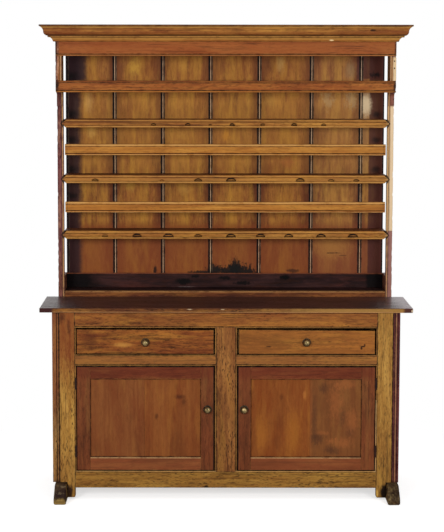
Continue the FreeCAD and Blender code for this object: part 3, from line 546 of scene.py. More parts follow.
def figure_of(g, grain, tones, look):
    """The wood's own pattern: bands, streaks and fibres along the grain, with clouds in it."""
    wander = g.noise(grain, (1.7, 5, 5), 2)
    sway = g.math("MULTIPLY", g.math("SUBTRACT", wander, 0.5), 0.05)
    along, across, through = g.parts(grain)
    bent = g.join(along, g.math("ADD", across, sway), g.math("ADD", through, sway))
    broad = g.noise(bent, (1.5, 14, 14), 3, 0.55)
    stripe = g.noise(bent, (2.6, 85, 85), 3, 0.6)
    fibre = g.noise(bent, (22, 420, 420), 2, 0.6)
    figure = g.math("ADD", g.math("MULTIPLY", broad, 0.42),
                    g.math("ADD", g.math("MULTIPLY", stripe, 0.38),
                           g.math("MULTIPLY", fibre, 0.20)))
    reach = 0.15 / look["contrast"]
    figure = g.node("ShaderNodeMapRange", {}, {0: figure, 1: 0.5 - reach, 2: 0.5 + reach})
    colour = g.ramp(figure, [(0.0, tones[0]), (0.5, tones[1]), (1.0, tones[2])])
    cloud = g.noise(grain, (5, 16, 16), 3, 0.6)
    colour = g.tint(colour, g.band(cloud, 0.42, 0.66), look["blotch"])
    patch = g.noise(g.stretch(grain, (1, 1, 1), (7.7, 3.1, 5.3)), (3.2, 11, 11), 3, 0.65)
    colour = g.tint(colour, g.band(patch, 0.50, 0.70), look["smudge"])
    shine = g.noise(g.stretch(grain, (1, 1, 1), (2.9, 9.1, 1.3)), (4.0, 24, 24), 3, 0.6)
    colour = g.tint(colour, g.band(shine, 0.50, 0.68), look["gold"])
    rings = g.noise(bent, (1.6, 150, 150), 2, 0.5)
    colour = g.tint(colour, g.band(rings, 0.58, 0.68), (RING_COLOUR, look["lines"]))
    if look["dapple"]:
        dapple = g.noise(grain, (13, 38, 38), 3, 0.65)
        colour = g.tint(colour, g.band(dapple, 0.52, 0.68), (tones[0], look["dapple"]))
        colour = g.tint(colour, g.band(dapple, 0.32, 0.48, 1.0, 0.0), (tones[2], look["dapple"]))
    grit = g.noise(bent, (26, 125, 125), 3, 0.7)
    colour = g.tint(colour, g.band(grit, 0.52, 0.66), (GRIT_COLOUR, look["grit"]))
    colour = g.tint(colour, g.band(grit, 0.32, 0.45, 1.0, 0.0), (tones[2], look["grit"]))
    dash = g.noise(bent, (48, 300, 300), 1)
    cluster = g.noise(grain, (5, 12, 12), 2)
    dashes = g.math("MULTIPLY", g.band(dash, 0.57, 0.67), g.band(cluster, 0.36, 0.60, 0.3, 1.0))
    colour = g.tint(colour, dashes, (DASH_COLOUR, look["specks"]))
    return colour, bent, stripe, fibre, cloud, dashes


def pine(name, tones, axis=None, **changes):
    """Old waxed pine, with the dark, middle and light tones of its figure.

    A pane is a colour, a strength, a range of x, a range of z and how soft its rims are. A mark
    is a colour, a strength, a centre and a reach in x and z, and how soft and how ragged its rim
    is. What lies behind the front is a dark and a light colour, and the depth where it starts.
    """
    look = {**PLAIN_LOOK, **changes}
    g = Graph(name)
    here = g.place()
    x, y, z = g.parts(here)
    if axis is None:
        grain = g.attribute("grain", "Vector")
    else:
        grain = g.join(*{"x": (x, y, z), "y": (y, z, x), "z": (z, x, y)}[axis])
    colour, bent, stripe, fibre, cloud, dashes = figure_of(g, grain, tones, look)
    lumps = g.noise(here, (30, 30, 30), 3, 0.65)
    ragged_rim = g.noise(here, (110, 110, 60), 3, 0.7)
    span = g.math("ABSOLUTE", g.attribute("span"))
    front = None
    if look["behind"]:
        dark, light, reach = look["behind"]
        front = g.band(g.attribute("depth"), reach, reach + 0.002, 1.0, 0.0)
        plain = g.mix(g.band(stripe, 0.38, 0.62), linear(dark), linear(light))
        share = g.math("MULTIPLY", g.math("SUBTRACT", 1.0, front), PLAIN_SHARE)
        colour = g.mix(share, colour, plain)
    # A golden centre along each board, partly its own colour and partly a painted sheen.
    if look["glow"]:
        light = g.noise(bent, (7.0, 36, 36), 4, 0.65)
        share = g.math("MULTIPLY", g.band(span, 0.95, 0.0), g.band(light, 0.30, 0.70))
        share = g.math("MULTIPLY", share, 1.0 if front is None else front)
        colour = g.tint(colour, share, look["glow"])
    if look["rim"]:
        uneven = g.math("MULTIPLY_ADD", g.math("SUBTRACT", cloud, 0.5), 0.5, span)
        colour = g.tint(colour, g.band(uneven, 0.55, 1.0), look["rim"])

    def lay(mask, tone, strength):
        if front is not None:
            mask = g.math("MULTIPLY", mask, front)
        return g.tint(colour, mask, (tone, strength))

    for tone, strength, across, up, soft in look["panes"]:
        colour = lay(pane(g, x, z, across, up, soft, lumps), tone, strength)
    for tone, strength, centre, size, soft, ragged in look["marks"]:
        mask = ellipse(g, x, z, centre, size, soft, ragged, ragged_rim)
        colour = lay(mask, tone, strength)
    if axis is None:
        colour = edge_shade_light_and_wear(g, colour, lumps, look)
    dull = g.math("ADD", g.math("MULTIPLY", cloud, 0.22), look["gloss"] - 0.11)
    rough = g.math("MULTIPLY_ADD", dashes, 0.2, dull)
    height = g.math("ADD", g.math("MULTIPLY", fibre, 0.35), g.math("MULTIPLY", stripe, 0.3))
    height = g.math("SUBTRACT", height, g.math("MULTIPLY", dashes, 0.6))
    height = g.math("ADD", height, g.math("MULTIPLY", lumps, 0.5))
    bumps = g.bumps(look["bump"], BUMP_HEIGHT, height)
    g.shade({"Base Color": colour, "Roughness": rough, "Specular IOR Level": look["sheen"],
             "Coat Weight": look["coat"], "Coat Roughness": COAT_ROUGHNESS, "Normal": bumps})
    return g.material


def edge_shade_light_and_wear(g, colour, lumps, look):
    """Painted highlight bands, dirt and painted shade beside the edges, rubbed arrises, painted shade
    and dirt in the hollows, and board tints.
    """
    edge = g.attribute("edge")
    hollow = g.attribute("hollow")
    lighter, greyer, at_end = g.parts(g.attribute("tint", "Vector"))
    centred = g.math("SUBTRACT", lumps, 0.5)
    broken = g.band(lumps, 0.30, 0.52, 0.45, 1.0)
    # Lay the painted highlight.
    colour = g.tint(colour, g.math("MULTIPLY", g.attribute("pale"), broken), look["pale"])
    for distance, paint, unevenness, start in ((edge, look["dirt"], 1.5, 0.2),
                                               (edge, look["wear"], -7.0, 0.3),
                                               (hollow, look["hollow_dirt"], 1.0, 0.3)):
        tone, strength, reach = paint
        uneven = g.math("MULTIPLY_ADD", centred, reach * unevenness, distance)
        mask = g.band(uneven, reach * start, reach, 1.0, 0.0)
        colour = g.tint(colour, mask, (tone, strength))
    colour = g.tint(colour, at_end, END_GRAIN)
    value = g.math("MULTIPLY_ADD", lighter, 0.25, 1.0)
    saturation = g.math("MULTIPLY_ADD", greyer, -0.3, 1.0)
    return g.node("ShaderNodeHueSaturation", {}, {
        "Saturation": saturation, "Value": value, "Color": colour})


def metal(name, colour, patch, roughness, metallic, size, sheen=0.5):
    """Aged metal with patches of tarnish or rust."""
    g = Graph(name)
    worn = g.noise(g.place(), (size, size, size), 4, 0.65)
    shown = g.mix(g.band(worn, 0.42, 0.66), linear(colour), linear(patch))
    rough = g.math("MULTIPLY_ADD", worn, 0.3, roughness)
    g.shade({"Base Color": shown, "Roughness": rough, "Metallic": metallic,
             "Specular IOR Level": sheen, "Normal": g.bumps(0.25, 0.0005, worn)})
    return g.material


# Materials of the base.
# Near black, for the painted shade in the gaps round the doors.
GAP_SHADE = "0c0706"
# Painted shadows of the feet on the stiles, a painted highlight at the lower inner corner of the
# right stile, and two dark patches near the top of the left stile.
STILE_PAINTED_LIGHT_AND_MARKS = (
    ("1e0e10", 0.92, (-0.697, 0.034), (0.026, 0.04), 0.5, 0.6),
    ("0c0708", 0.96, (0.706, 0.036), (0.027, 0.044), 0.5, 0.5),
    ("d0a450", 0.75, (0.671, 0.03), (0.008, 0.022), 0.6, 0.6),
    ("2c130c", 0.65, (-0.722, 0.815), (0.022, 0.04), 0.9, 1.8),
    ("2c130c", 0.55, (-0.69, 0.77), (0.012, 0.05), 0.9, 1.8),
)
pine_frame = pine(
    "pine_frame", ("70481e", "966a2e", "ad8240"), specks=0.9, blotch=("7a4a20", 0.5),
    dirt=("120a07", 0.9, 0.0032), smudge=("4a2c14", 0.45), gold=("b88c3e", 0.35), contrast=1.2,
    panes=(
        ("733519", 0.72, (-OPEN, 0.0), (0.57, 0.95), 0.12),
        ("a8803f", 0.12, (0.0, OPEN), EVERYWHERE, 0.01),
    ),
    marks=STILE_PAINTED_LIGHT_AND_MARKS)
pine_bottom = pine(
    "pine_bottom", ("644018", "8a6028", "a27834"), specks=0.8, blotch=("7a4a20", 0.4),
    smudge=("5a3418", 0.4), gold=("b88c3e", 0.3), contrast=1.2,
    marks=(("180c08", 0.9, (-0.0855, 0.0585), (0.012, 0.009), 0.5, 0.5),))
pine_muntin = pine(
    "pine_muntin", ("583417", "805028", "966432"), specks=0.95, blotch=("6c3c1e", 0.5),
    smudge=("3a2010", 0.5), contrast=1.2, dirt=("120a07", 0.9, 0.0032))
pine_top = pine(
    "pine_top", ("6b381a", "855125", "9c6429"), specks=0.6, blotch=("783c1c", 0.5),
    smudge=("4a2610", 0.35), gold=("b0762f", 0.4), contrast=1.1, grit=0.35,
    dirt=("120a07", 0.9, 0.003),
    panes=(
        ("865a30", 0.35, EVERYWHERE, (-OPEN, 0.7), 0.01),
        # A painted shadow under the counter's front edge, along the top of the top rail.
        ("361408", 0.85, EVERYWHERE, (0.8355, OPEN), 0.0008),
    ))
pine_bead = pine(
    "pine_bead", ("3c2010", "6a4020", "8e6434"), specks=0.7, blotch=("3a2010", 0.6),
    smudge=("180c08", 0.6), pale=("c28c48", 0.75), hollow_dirt=("0a0605", 0.97, 0.0026),
    dirt=("0c0706", 0.0, 0.001),
    panes=(
        # Painted highlights on the bead at the foot of the door openings and on the right opening's
        # outer bead.
        ("d8aa68", 0.55, EVERYWHERE, (0.12, 0.1325), 0.001),
        ("d8b07c", 0.5, (0.655, 0.67), (0.12, 0.45), 0.001),
    ))
pine_side = {
    "left": pine(
        "pine_side_left", ("5a3a1c", "825a32", "a07c4c"), specks=0.9, blotch=("6c3a20", 0.5),
        smudge=("4c2618", 0.5), contrast=1.2, hollow_dirt=("1c0c08", 0.95, 0.0012),
        dirt=("241210", 0.6, 0.0011), pale=("b48c6c", 0.55), wear=("b08448", 0.0, 0.001),
        panes=(("7a4024", 0.5, EVERYWHERE, (0.45, OPEN), 0.15),), behind=("5c3820", "885c36", 0.017)),
    "right": pine(
        "pine_side_right", ("36161a", "542428", "6c3634"), specks=0.6, blotch=("3a181c", 0.5),
        smudge=("200c10", 0.5), gold=("7c4838", 0.3), pale=("a87850", 0.85),
        wear=("8a5a48", 0.2, 0.001), behind=("50301e", "784c30", 0.017),
        hollow_dirt=("160808", 0.9, 0.0012), dirt=("200c0c", 0.5, 0.001)),
}
# Dark faces round the doors and drawer fronts, for dirt and the painted shade of the gaps.
RIM_DIRT_AND_SHADE = ("20110a", 0.8, 0.0022)
DRAWER_MARKS = (
    ("b8803a", 0.7, (-0.456, 0.695), (0.06, 0.016), 0.9, 0.6),
    ("4a2412", 0.6, (-0.6, 0.712), (0.05, 0.06), 0.8, 0.8),
    ("30160c", 0.6, (-0.5, 0.725), (0.07, 0.004), 0.9, 1.2),
    ("30160c", 0.6, (-0.24, 0.686), (0.04, 0.005), 0.9, 1.2),
    ("381a0c", 0.6, (-0.555, 0.684), (0.08, 0.006), 0.9, 1.4),
    ("1c0c08", 0.9, (0.602, 0.689), (0.013, 0.0045), 0.5, 0.6),
    ("1c0c08", 0.9, (0.5955, 0.682), (0.006, 0.009), 0.5, 0.6),
    ("1c0c08", 0.8, (0.6095, 0.695), (0.005, 0.008), 0.5, 0.6),
    ("241008", 0.75, (0.188, 0.6885), (0.018, 0.005), 0.8, 1.0),
    ("2c160c", 0.6, (0.456, 0.7105), (0.009, 0.003), 0.6, 0.8),
)
# Its near-black edges are painted shade of the gap round each drawer front.
pine_drawer = pine(
    "pine_drawer", ("5a2813", "77411d", "975a24"), specks=0.6, blotch=("602a14", 0.6),
    smudge=("30180c", 0.5), gold=("b0782f", 0.4), lines=0.6, contrast=1.3, marks=DRAWER_MARKS,
    behind=("7c5c34", "a08050", 0.016), dirt=("0c0706", 0.9, 0.0018), hollow_dirt=RIM_DIRT_AND_SHADE,
    panes=(("9a642a", 0.35, (0.0, OPEN), EVERYWHERE, 0.01),))
pine_door = pine(
    "pine_door", ("522816", "6c381e", "7e4826"), specks=0.3, grit=0.3, blotch=("5c321a", 0.5),
    smudge=("381c0e", 0.5), gold=("80562c", 0.3), dirt=("120806", 0.5, 0.0012),
    wear=("9a6a40", 0.15, 0.0012), hollow_dirt=RIM_DIRT_AND_SHADE,
    panes=(
        ("5c2416", 0.5, EVERYWHERE, (0.545, 0.7), 0.02),
        # Painted shade in the gaps along the doors' meeting stiles and under the mid rail.
        (GAP_SHADE, 0.9, (0.04, 0.0562), EVERYWHERE, 0.0008),
        (GAP_SHADE, 0.9, (-0.056, -0.04), EVERYWHERE, 0.0008),
        (GAP_SHADE, 0.9, EVERYWHERE, (0.5955, 0.7), 0.0008),
    ))
pine_lip = pine(
    "pine_lip", ("4e2414", "70381e", "804626"), specks=0.35, blotch=("50220f", 0.5),
    smudge=("2e140c", 0.5), gold=("8c5a2e", 0.35), dirt=("120806", 0.5, 0.0012),
    pale=("b89468", 0.75), grit=0.4, hollow_dirt=RIM_DIRT_AND_SHADE,
    panes=(
        ("5c2416", 0.5, EVERYWHERE, (0.545, 0.7), 0.02),
        ("864a2a", 0.4, EVERYWHERE, (-OPEN, 0.2), 0.005),
        # Painted shade in the gap under the mid rail.
        (GAP_SHADE, 0.9, EVERYWHERE, (0.5955, 0.7), 0.0008),
    ))
PANEL_MARKS = (
    ("34160c", 0.65, (-0.205, 0.462), (0.034, 0.016), 0.9, 0.9),
    ("34160c", 0.55, (-0.185, 0.44), (0.013, 0.028), 0.9, 0.9),
    ("34160c", 0.55, (-0.306, 0.374), (0.012, 0.02), 0.8, 0.6),
    ("a0662c", 0.4, (0.3, 0.3), (0.05, 0.15), 0.9, 0.8),
    ("a0662c", 0.35, (0.16, 0.29), (0.04, 0.12), 0.9, 0.8),
    ("482412", 0.5, (0.247, 0.462), (0.014, 0.022), 0.9, 0.8),
    ("5a2e18", 0.45, (0.24, 0.345), (0.022, 0.08), 0.9, 0.8),
    ("5a2e18", 0.4, (0.23, 0.255), (0.026, 0.06), 0.9, 0.8),
    ("a86c38", 0.5, (0.348, 0.47), (0.012, 0.03), 0.9, 0.8),
    ("44281a", 0.5, (0.392, 0.35), (0.018, 0.19), 0.9, 1.0),
    ("44281a", 0.65, (0.405, 0.278), (0.045, 0.04), 0.9, 1.4),
    ("44281a", 0.65, (0.47, 0.222), (0.052, 0.03), 0.9, 1.4),
    ("44281a", 0.55, (0.55, 0.308), (0.032, 0.04), 0.9, 1.4),
    ("44281a", 0.6, (0.432, 0.5), (0.034, 0.034), 0.9, 1.4),
    ("44281a", 0.45, (0.514, 0.366), (0.026, 0.06), 0.9, 1.4),
    ("96562c", 0.45, (0.466, 0.262), (0.036, 0.016), 0.9, 2.6),
    ("96562c", 0.4, (0.425, 0.3), (0.04, 0.014), 0.9, 2.6),
    ("96562c", 0.45, (0.52, 0.256), (0.056, 0.034), 0.9, 2.6),
    ("96562c", 0.45, (0.557, 0.352), (0.044, 0.08), 0.9, 2.0),
    ("96562c", 0.45, (0.484, 0.43), (0.044, 0.11), 0.9, 2.0),
    ("96562c", 0.45, (0.52, 0.52), (0.07, 0.036), 0.9, 2.0),
)
# The panels darken towards the stiles and rails: dirt and painted shade in the recess.
pine_panel = pine(
    "pine_panel", ("683418", "784422", "885229"), specks=0.1, blotch=("6c3218", 0.4),
    smudge=("4e2814", 0.35), gold=("94602c", 0.3), contrast=0.7, lines=0.05, grit=0.15, dapple=0.2,
    marks=PANEL_MARKS, dirt=("120806", 0.85, 0.0055),
    panes=(("5c4020", 0.28, (0.38, OPEN), EVERYWHERE, 0.004),), behind=("684828", "8a6640", 0.004))
pine_foot = pine(
    "pine_foot", ("231810", "463626", "72603f"), specks=0.9, blotch=("1c120c", 0.7),
    smudge=("140c08", 0.6), gold=("7c643e", 0.5), gloss=0.7, bump=1.0, contrast=1.6, grit=0.6,
    behind=("281c12", "463622", 0.075),
    panes=(("28181a", 0.65, (-OPEN, 0.0), (0.028, 0.074), 0.008),),
    marks=(
        ("987a40", 0.8, (-0.7285, 0.008), (0.04, 0.024), 0.5, 0.8),
        ("a08c70", 0.55, (-0.756, 0.05), (0.005, 0.026), 0.7, 1.2),
        ("8a785a", 0.6, (-0.716, 0.068), (0.022, 0.004), 0.9, 3.0),
        ("7c6a50", 0.5, (-0.728, 0.047), (0.016, 0.005), 0.9, 3.4),
    ))
pine_counter = pine(
    "pine_counter", ("1e1010", "30181a", "42241e"), specks=0.3, blotch=("201010", 0.5),
    smudge=("120a0a", 0.5), gold=("5a3020", 0.3), gloss=0.36, sheen=0.22, coat=0.03, bump=0.3,
    # Painted reflections of the white surroundings on both ends of the top.
    marks=(
        ("5e4e4a", 0.5, (-0.815, 0.86), (0.095, 0.5), 0.95, 0.7),
        ("b4a4a8", 0.7, (0.815, 0.86), (0.095, 0.5), 0.95, 0.7),
    ),
    dirt=("180c0a", 0.3, 0.001), wear=("8a6238", 0.2, 0.001))
pine_counter_edge = pine(
    "pine_counter_edge", ("3e200f", "643a1c", "845626"), specks=0.9, blotch=("50281a", 0.6),
    smudge=("2e160e", 0.5), contrast=1.5,
    panes=(
        ("a87e40", 0.6, (0.25, OPEN), EVERYWHERE, 0.25),
        # A painted shadow along the top arris of the front edge.
        ("3c1c10", 0.6, EVERYWHERE, (0.857, OPEN), 0.0012),
        ("c08c5c", 0.5, EVERYWHERE, (-OPEN, 0.844), 0.0012),
        ("32171a", 0.95, (-OPEN, -0.762), EVERYWHERE, 0.008),
        ("40201e", 0.95, (0.78, OPEN), EVERYWHERE, 0.008),
    ),
    marks=(
        ("d8bc94", 0.5, (-0.16, 0.855), (0.016, 0.003), 0.5, 1.0),
        ("d8bc94", 0.4, (-0.015, 0.855), (0.012, 0.003), 0.5, 1.0),
        ("d8c0a0", 0.8, (0.815, 0.848), (0.004, 0.008), 0.5, 1.0),
    ),
    grit=0.7, dirt=("241410", 0.3, 0.001), wear=("b08448", 0.1, 0.001))

# Materials of the rack.
pine_rack = pine(
    "pine_rack", ("7c481c", "a06628", "bc8238"), specks=0.3, grit=0.2, blotch=("8c5020", 0.4),
    smudge=("6a3818", 0.3), gold=("c08a3c", 0.3), pale=("d0a060", 0.75), contrast=0.85, lines=0.3,
    panes=(
        # Painted shading: darker bands along the foot and the top of both guard rails.
        ("864418", 0.6, EVERYWHERE, (1.24, 1.256), 0.001),
        ("864418", 0.6, EVERYWHERE, (1.5, 1.518), 0.001),
        ("8a5a28", 0.5, EVERYWHERE, (1.2885, 1.3), 0.001),
        ("8a5a28", 0.5, EVERYWHERE, (1.5525, 1.57), 0.001),
    ),
    hollow_dirt=("200f08", 0.92, 0.0026), dirt=("241008", 0.7, 0.0012))
pine_edge = pine(
    "pine_edge", ("704020", "98612a", "b47e3a"), specks=0.45, grit=0.3, blotch=("7a441e", 0.45),
    smudge=("502c16", 0.35), gold=("bc8636", 0.35), pale=("c89450", 0.6), contrast=1.05, lines=0.45,
    panes=(
        ("5c2e16", 0.4, EVERYWHERE, (1.6575, 1.69), 0.002),
        ("b07c3c", 0.35, EVERYWHERE, (1.383, 1.405), 0.003),
        ("b08858", 0.6, (0.733, OPEN), EVERYWHERE, 0.003),
        ("7c5030", 0.6, (-OPEN, -0.733), EVERYWHERE, 0.003),
    ),
    hollow_dirt=("140a06", 0.95, 0.0022), dirt=("241008", 0.5, 0.0012))
pine_rail = pine(
    "pine_rail", ("703817", "8c4e22", "a5672c"), specks=0.35, blotch=("7c3a18", 0.5),
    smudge=("4a2010", 0.4), gold=("b07430", 0.35), pale=("b47838", 0.4),
    hollow_dirt=("200c08", 0.9, 0.0024),
    panes=(
        # Painted shade on the canopy rail's top bevel.
        ("502a1c", 0.4, EVERYWHERE, (1.842, OPEN), 0.0015),
        ("2c100c", 0.75, (-OPEN, -0.752), EVERYWHERE, 0.006),
        ("2c100c", 0.65, (0.754, OPEN), EVERYWHERE, 0.006),
    ),
    marks=(
        ("0e0605", 0.9, (-0.757, 1.824), (0.01, 0.024), 0.9, 3.2),
        ("0e0605", 0.8, (0.759, 1.82), (0.008, 0.024), 0.9, 3.4),
    ))
pine_sill = pine(
    "pine_sill", ("4a2418", "6e3c20", "8c5428"), specks=0.4, blotch=("40201a", 0.5),
    smudge=("2a1410", 0.5), gold=("96602c", 0.4), pale=("a87848", 0.7))
pine_shelf = pine(
    "pine_shelf", ("401e12", "5e3018", "7a4824"), specks=0.5, blotch=("3c1a10", 0.5),
    smudge=("200e0a", 0.5), gold=("80502a", 0.3))
# Bands on the front of the posts. The first ones are on the right post; its cream bands are a painted
# highlight where light from the right catches its front.
POST_PANES = (
    ("a27468", 0.7, (0.744, OPEN), (-OPEN, 1.165), 0.012),
    ("cca878", 0.8, (0.7, 0.749), (1.165, 1.735), 0.002),
    ("dcc09a", 0.9, (0.749, OPEN), (1.165, 1.735), 0.004),
    ("6e4628", 0.6, (0.748, 0.75), (1.165, 1.735), 0.0012),
    ("d8bc92", 0.9, (0.75, OPEN), (1.835, 1.955), 0.008),
    ("96602c", 0.8, (0.7425, 0.75), (1.835, 1.955), 0.002),
    ("8a5428", 0.75, (-0.756, -0.744), (1.835, 1.985), 0.002),
)
NAIL_HEIGHTS = (1.938, 1.906, 1.838)
POST_MARKS = tuple(("1c0e0a", 0.9, (0.757, z), (0.0035, 0.005), 0.4, 0.4) for z in NAIL_HEIGHTS)
POST_MARKS += (
    ("bc8c6c", 0.65, (-0.757, 1.9), (0.009, 0.06), 0.9, 3.6),
    ("140a08", 0.8, (-0.763, 1.93), (0.006, 0.05), 0.9, 4.4),
    ("bc8c6c", 0.28, (-0.757, 1.6), (0.008, 0.1), 0.9, 4.0),
    ("bc8c6c", 0.28, (-0.757, 1.25), (0.008, 0.12), 0.9, 4.0),
)
pine_post = pine(
    "pine_post", ("3c1a1e", "5e2f30", "85524c"), specks=0.8, blotch=("3a1614", 0.5),
    smudge=("200e10", 0.5), gold=("a06848", 0.35), panes=POST_PANES, marks=POST_MARKS, contrast=1.3,
    pale=("b88c5c", 0.8), behind=("4c2a20", "6c4430", 0.007), hollow_dirt=("160a0a", 0.9, 0.0016),
    dirt=("200e0e", 0.6, 0.0012))
BACK_PANES = (
    ("7c3c1c", 0.72, EVERYWHERE, (-OPEN, 1.18), 0.02),
    ("b47c34", 0.22, EVERYWHERE, (1.42, 1.79), 0.06),
    ("7c481f", 0.2, EVERYWHERE, (1.85, OPEN), 0.03),
    # A pale patch at the right: a painted highlight.
    ("a88450", 0.25, (0.62, 0.664), (1.42, 1.76), 0.005),
    # Painted shadows of the posts and the canopy at both sides of the back, wider in the top bay.
    ("2c171b", 0.94, (-OPEN, -0.668), EVERYWHERE, 0.018),
    ("2c171b", 0.94, (-OPEN, -0.64), (1.84, OPEN), 0.018),
    ("441c1a", 0.88, (0.667, OPEN), EVERYWHERE, 0.004),
    ("482018", 0.85, (0.609, OPEN), (1.855, OPEN), 0.005),
)
BACK_MARKS = (
    # A painted highlight at the right of the upper bays.
    ("dcc49c", 0.8, (0.652, 1.738), (0.034, 0.074), 0.7, 0.8),
    ("b09468", 0.45, (0.585, 1.76), (0.04, 0.06), 0.9, 2.2),
    ("b09464", 0.42, (0.475, 1.76), (0.04, 0.06), 0.9, 2.2),
    # Painted shade, deepest at the foot of each bay, at both sides of the back.
    ("0a0505", 0.85, (-0.715, 1.866), (0.06, 0.035), 0.9, 0.6),
    ("0a0505", 0.85, (-0.715, 1.692), (0.052, 0.032), 0.9, 0.6),
    ("0a0505", 0.8, (-0.715, 1.572), (0.052, 0.03), 0.9, 0.6),
    ("0a0505", 0.8, (-0.715, 1.436), (0.052, 0.03), 0.9, 0.6),
    ("0a0505", 0.8, (-0.715, 1.312), (0.052, 0.026), 0.9, 0.6),
    ("0a0505", 0.9, (0.694, 1.874), (0.036, 0.018), 0.8, 2.4),
    ("0a0505", 0.75, (0.702, 1.692), (0.036, 0.024), 0.9, 0.6),
    ("0a0505", 0.75, (0.702, 1.572), (0.036, 0.024), 0.9, 0.6),
    ("0a0505", 0.75, (0.702, 1.436), (0.036, 0.024), 0.9, 0.6),
    ("8c7a58", 0.4, (0.579, 1.895), (0.035, 0.06), 0.9, 1.0),
    ("d0a45c", 0.35, (-0.632, 1.75), (0.034, 0.075), 0.9, 1.0),
    ("c89a4c", 0.5, (-0.62, 1.613), (0.034, 0.045), 0.9, 1.2),
    ("c89838", 0.6, (-0.419, 1.908), (0.04, 0.055), 0.9, 1.2),
    ("c08a38", 0.5, (-0.193, 1.915), (0.032, 0.05), 0.9, 1.2),
    ("c08a38", 0.45, (-0.19, 1.595), (0.04, 0.04), 0.9, 1.2),
    ("c8862c", 0.6, (0.006, 1.595), (0.026, 0.04), 0.9, 1.2),
    ("b89050", 0.5, (0.255, 1.922), (0.026, 0.06), 0.9, 1.2),
    ("b88c38", 0.45, (-0.44, 1.362), (0.036, 0.04), 0.9, 1.2),
    ("c09040", 0.4, (-0.189, 1.343), (0.04, 0.04), 0.9, 1.2),
    ("b8863a", 0.4, (0.21, 1.756), (0.044, 0.045), 0.9, 1.2),
    ("a0562a", 0.45, (0.29, 1.47), (0.05, 0.04), 0.9, 1.2),
    ("0a0807", 0.97, (0.058, 0.95), (0.112, 0.05), 0.4, 1.8),
    ("0a0807", 0.97, (0.046, 0.966), (0.034, 0.068), 0.5, 1.4),
    ("100c0a", 0.96, (-0.05, 0.958), (0.05, 0.038), 0.5, 1.6),
    ("100c0a", 0.9, (-0.105, 0.954), (0.07, 0.012), 0.5, 1.6),
    ("140a08", 0.9, (-0.325, 0.965), (0.012, 0.026), 0.6, 1.4),
    ("140a08", 0.7, (0.319, 0.962), (0.04, 0.012), 0.6, 1.4),
    ("a8702c", 0.65, (0.5, 1.08), (0.13, 0.09), 0.9, 0.8),
    ("2c1810", 0.7, (0.505, 1.046), (0.04, 0.004), 0.6, 2.0),
    ("2c1810", 0.6, (0.553, 1.034), (0.02, 0.003), 0.6, 2.0),
)
# The back boards: a golden centre partly painted as sheen, with painted highlights and painted shade
# in places.
pine_back = pine(
    "pine_back", ("6c3418", "8c5226", "ac7430"), specks=0.3, grit=0.3, dapple=0.5,
    blotch=("74381a", 0.6), smudge=("4c2614", 0.55), gold=("bc8832", 0.55), glow=("bc8430", 0.65),
    rim=("542814", 0.75), panes=BACK_PANES, marks=BACK_MARKS, pale=("ccae8c", 0.8), sheen=0.1,
    lines=0.2, contrast=0.8, behind=("5e4428", "866640", 0.007),
    hollow_dirt=("0e0707", 0.97, 0.0056), dirt=("0e0707", 0.9, 0.003), wear=("b08448", 0.0, 0.001))
# Bands across the cornice; the dark lines are painted shade under the steps of the moulding.
CORNICE_PANES = (
    ("6a3216", 0.55, EVERYWHERE, (2.056, 2.068), 0.003),
    ("8a5420", 0.5, EVERYWHERE, (2.024, 2.033), 0.001),
    ("2a140c", 0.65, EVERYWHERE, (2.0505, 2.056), 0.001),
    ("301810", 0.7, EVERYWHERE, (2.0945, 2.11), 0.001),
)
CORNICE_MARKS = (
    ("1e0e0a", 0.9, (0.6532, 2.0744), (0.016, 0.006), 0.4, 0.3),
    ("e8cc98", 0.85, (0.4726, 2.0309), (0.013, 0.004), 0.5, 0.8),
)
pine_cornice = pine(
    "pine_cornice", ("6c3a1a", "8c5627", "a87232"), specks=0.35, blotch=("7a3e1c", 0.5),
    smudge=("502a14", 0.45), gold=("b8823a", 0.4), panes=CORNICE_PANES, marks=CORNICE_MARKS,
    pale=("b88844", 0.55), contrast=1.4)
pine_frieze = pine(
    "pine_frieze", ("743616", "8c4c24", "9a5a2a"), specks=0.15, grit=0.2, blotch=("843e1a", 0.4),
    smudge=("6a3416", 0.3), gold=("a46a34", 0.25), pale=("a07040", 0.4), contrast=0.8,
    panes=(
        ("4a241c", 0.8, (-OPEN, -0.75), EVERYWHERE, 0.004),
        ("5a3020", 0.6, (0.756, OPEN), EVERYWHERE, 0.004),
    ),
    marks=(
        ("120806", 0.9, (-0.76, 2.01), (0.007, 0.05), 0.9, 3.8),
        ("c08a64", 0.55, (-0.754, 2.0), (0.006, 0.04), 0.9, 4.0),
        ("120806", 0.7, (0.761, 1.995), (0.006, 0.04), 0.9, 4.0),
    ))
PLINTH_MARKS = (
    ("0a0808", 0.95, (-0.19, 0.912), (0.05, 0.02), 0.6, 1.4),
    ("0a0808", 0.9, (-0.139, 0.937), (0.028, 0.009), 0.6, 1.4),
    ("0a0808", 0.9, (0.001, 0.93), (0.04, 0.012), 0.6, 1.6),
    ("0a0808", 0.9, (0.083, 0.906), (0.06, 0.012), 0.6, 1.8),
    ("060505", 0.96, (0.282, 0.932), (0.032, 0.014), 0.5, 1.2),
    ("7a6a68", 0.5, (-0.181, 0.888), (0.055, 0.0022), 0.9, 1.5),
)
pine_plinth = pine(
    "pine_plinth", ("1e1112", "2c1a1a", "402624"), specks=0.3, blotch=("160d0e", 0.6),
    smudge=("0a0607", 0.6), gold=("5a2e26", 0.45), wear=("7c4226", 0.0, 0.001),
    dirt=("0a0606", 0.0, 0.001), sheen=0.05, pale=("80462c", 0.8), contrast=1.4, marks=PLINTH_MARKS,
    # Painted shadows of the posts at both ends.
    panes=(
        ("060405", 0.92, (-OPEN, -0.6), EVERYWHERE, 0.05),
        ("060405", 0.92, (0.66, OPEN), EVERYWHERE, 0.01),
    ))

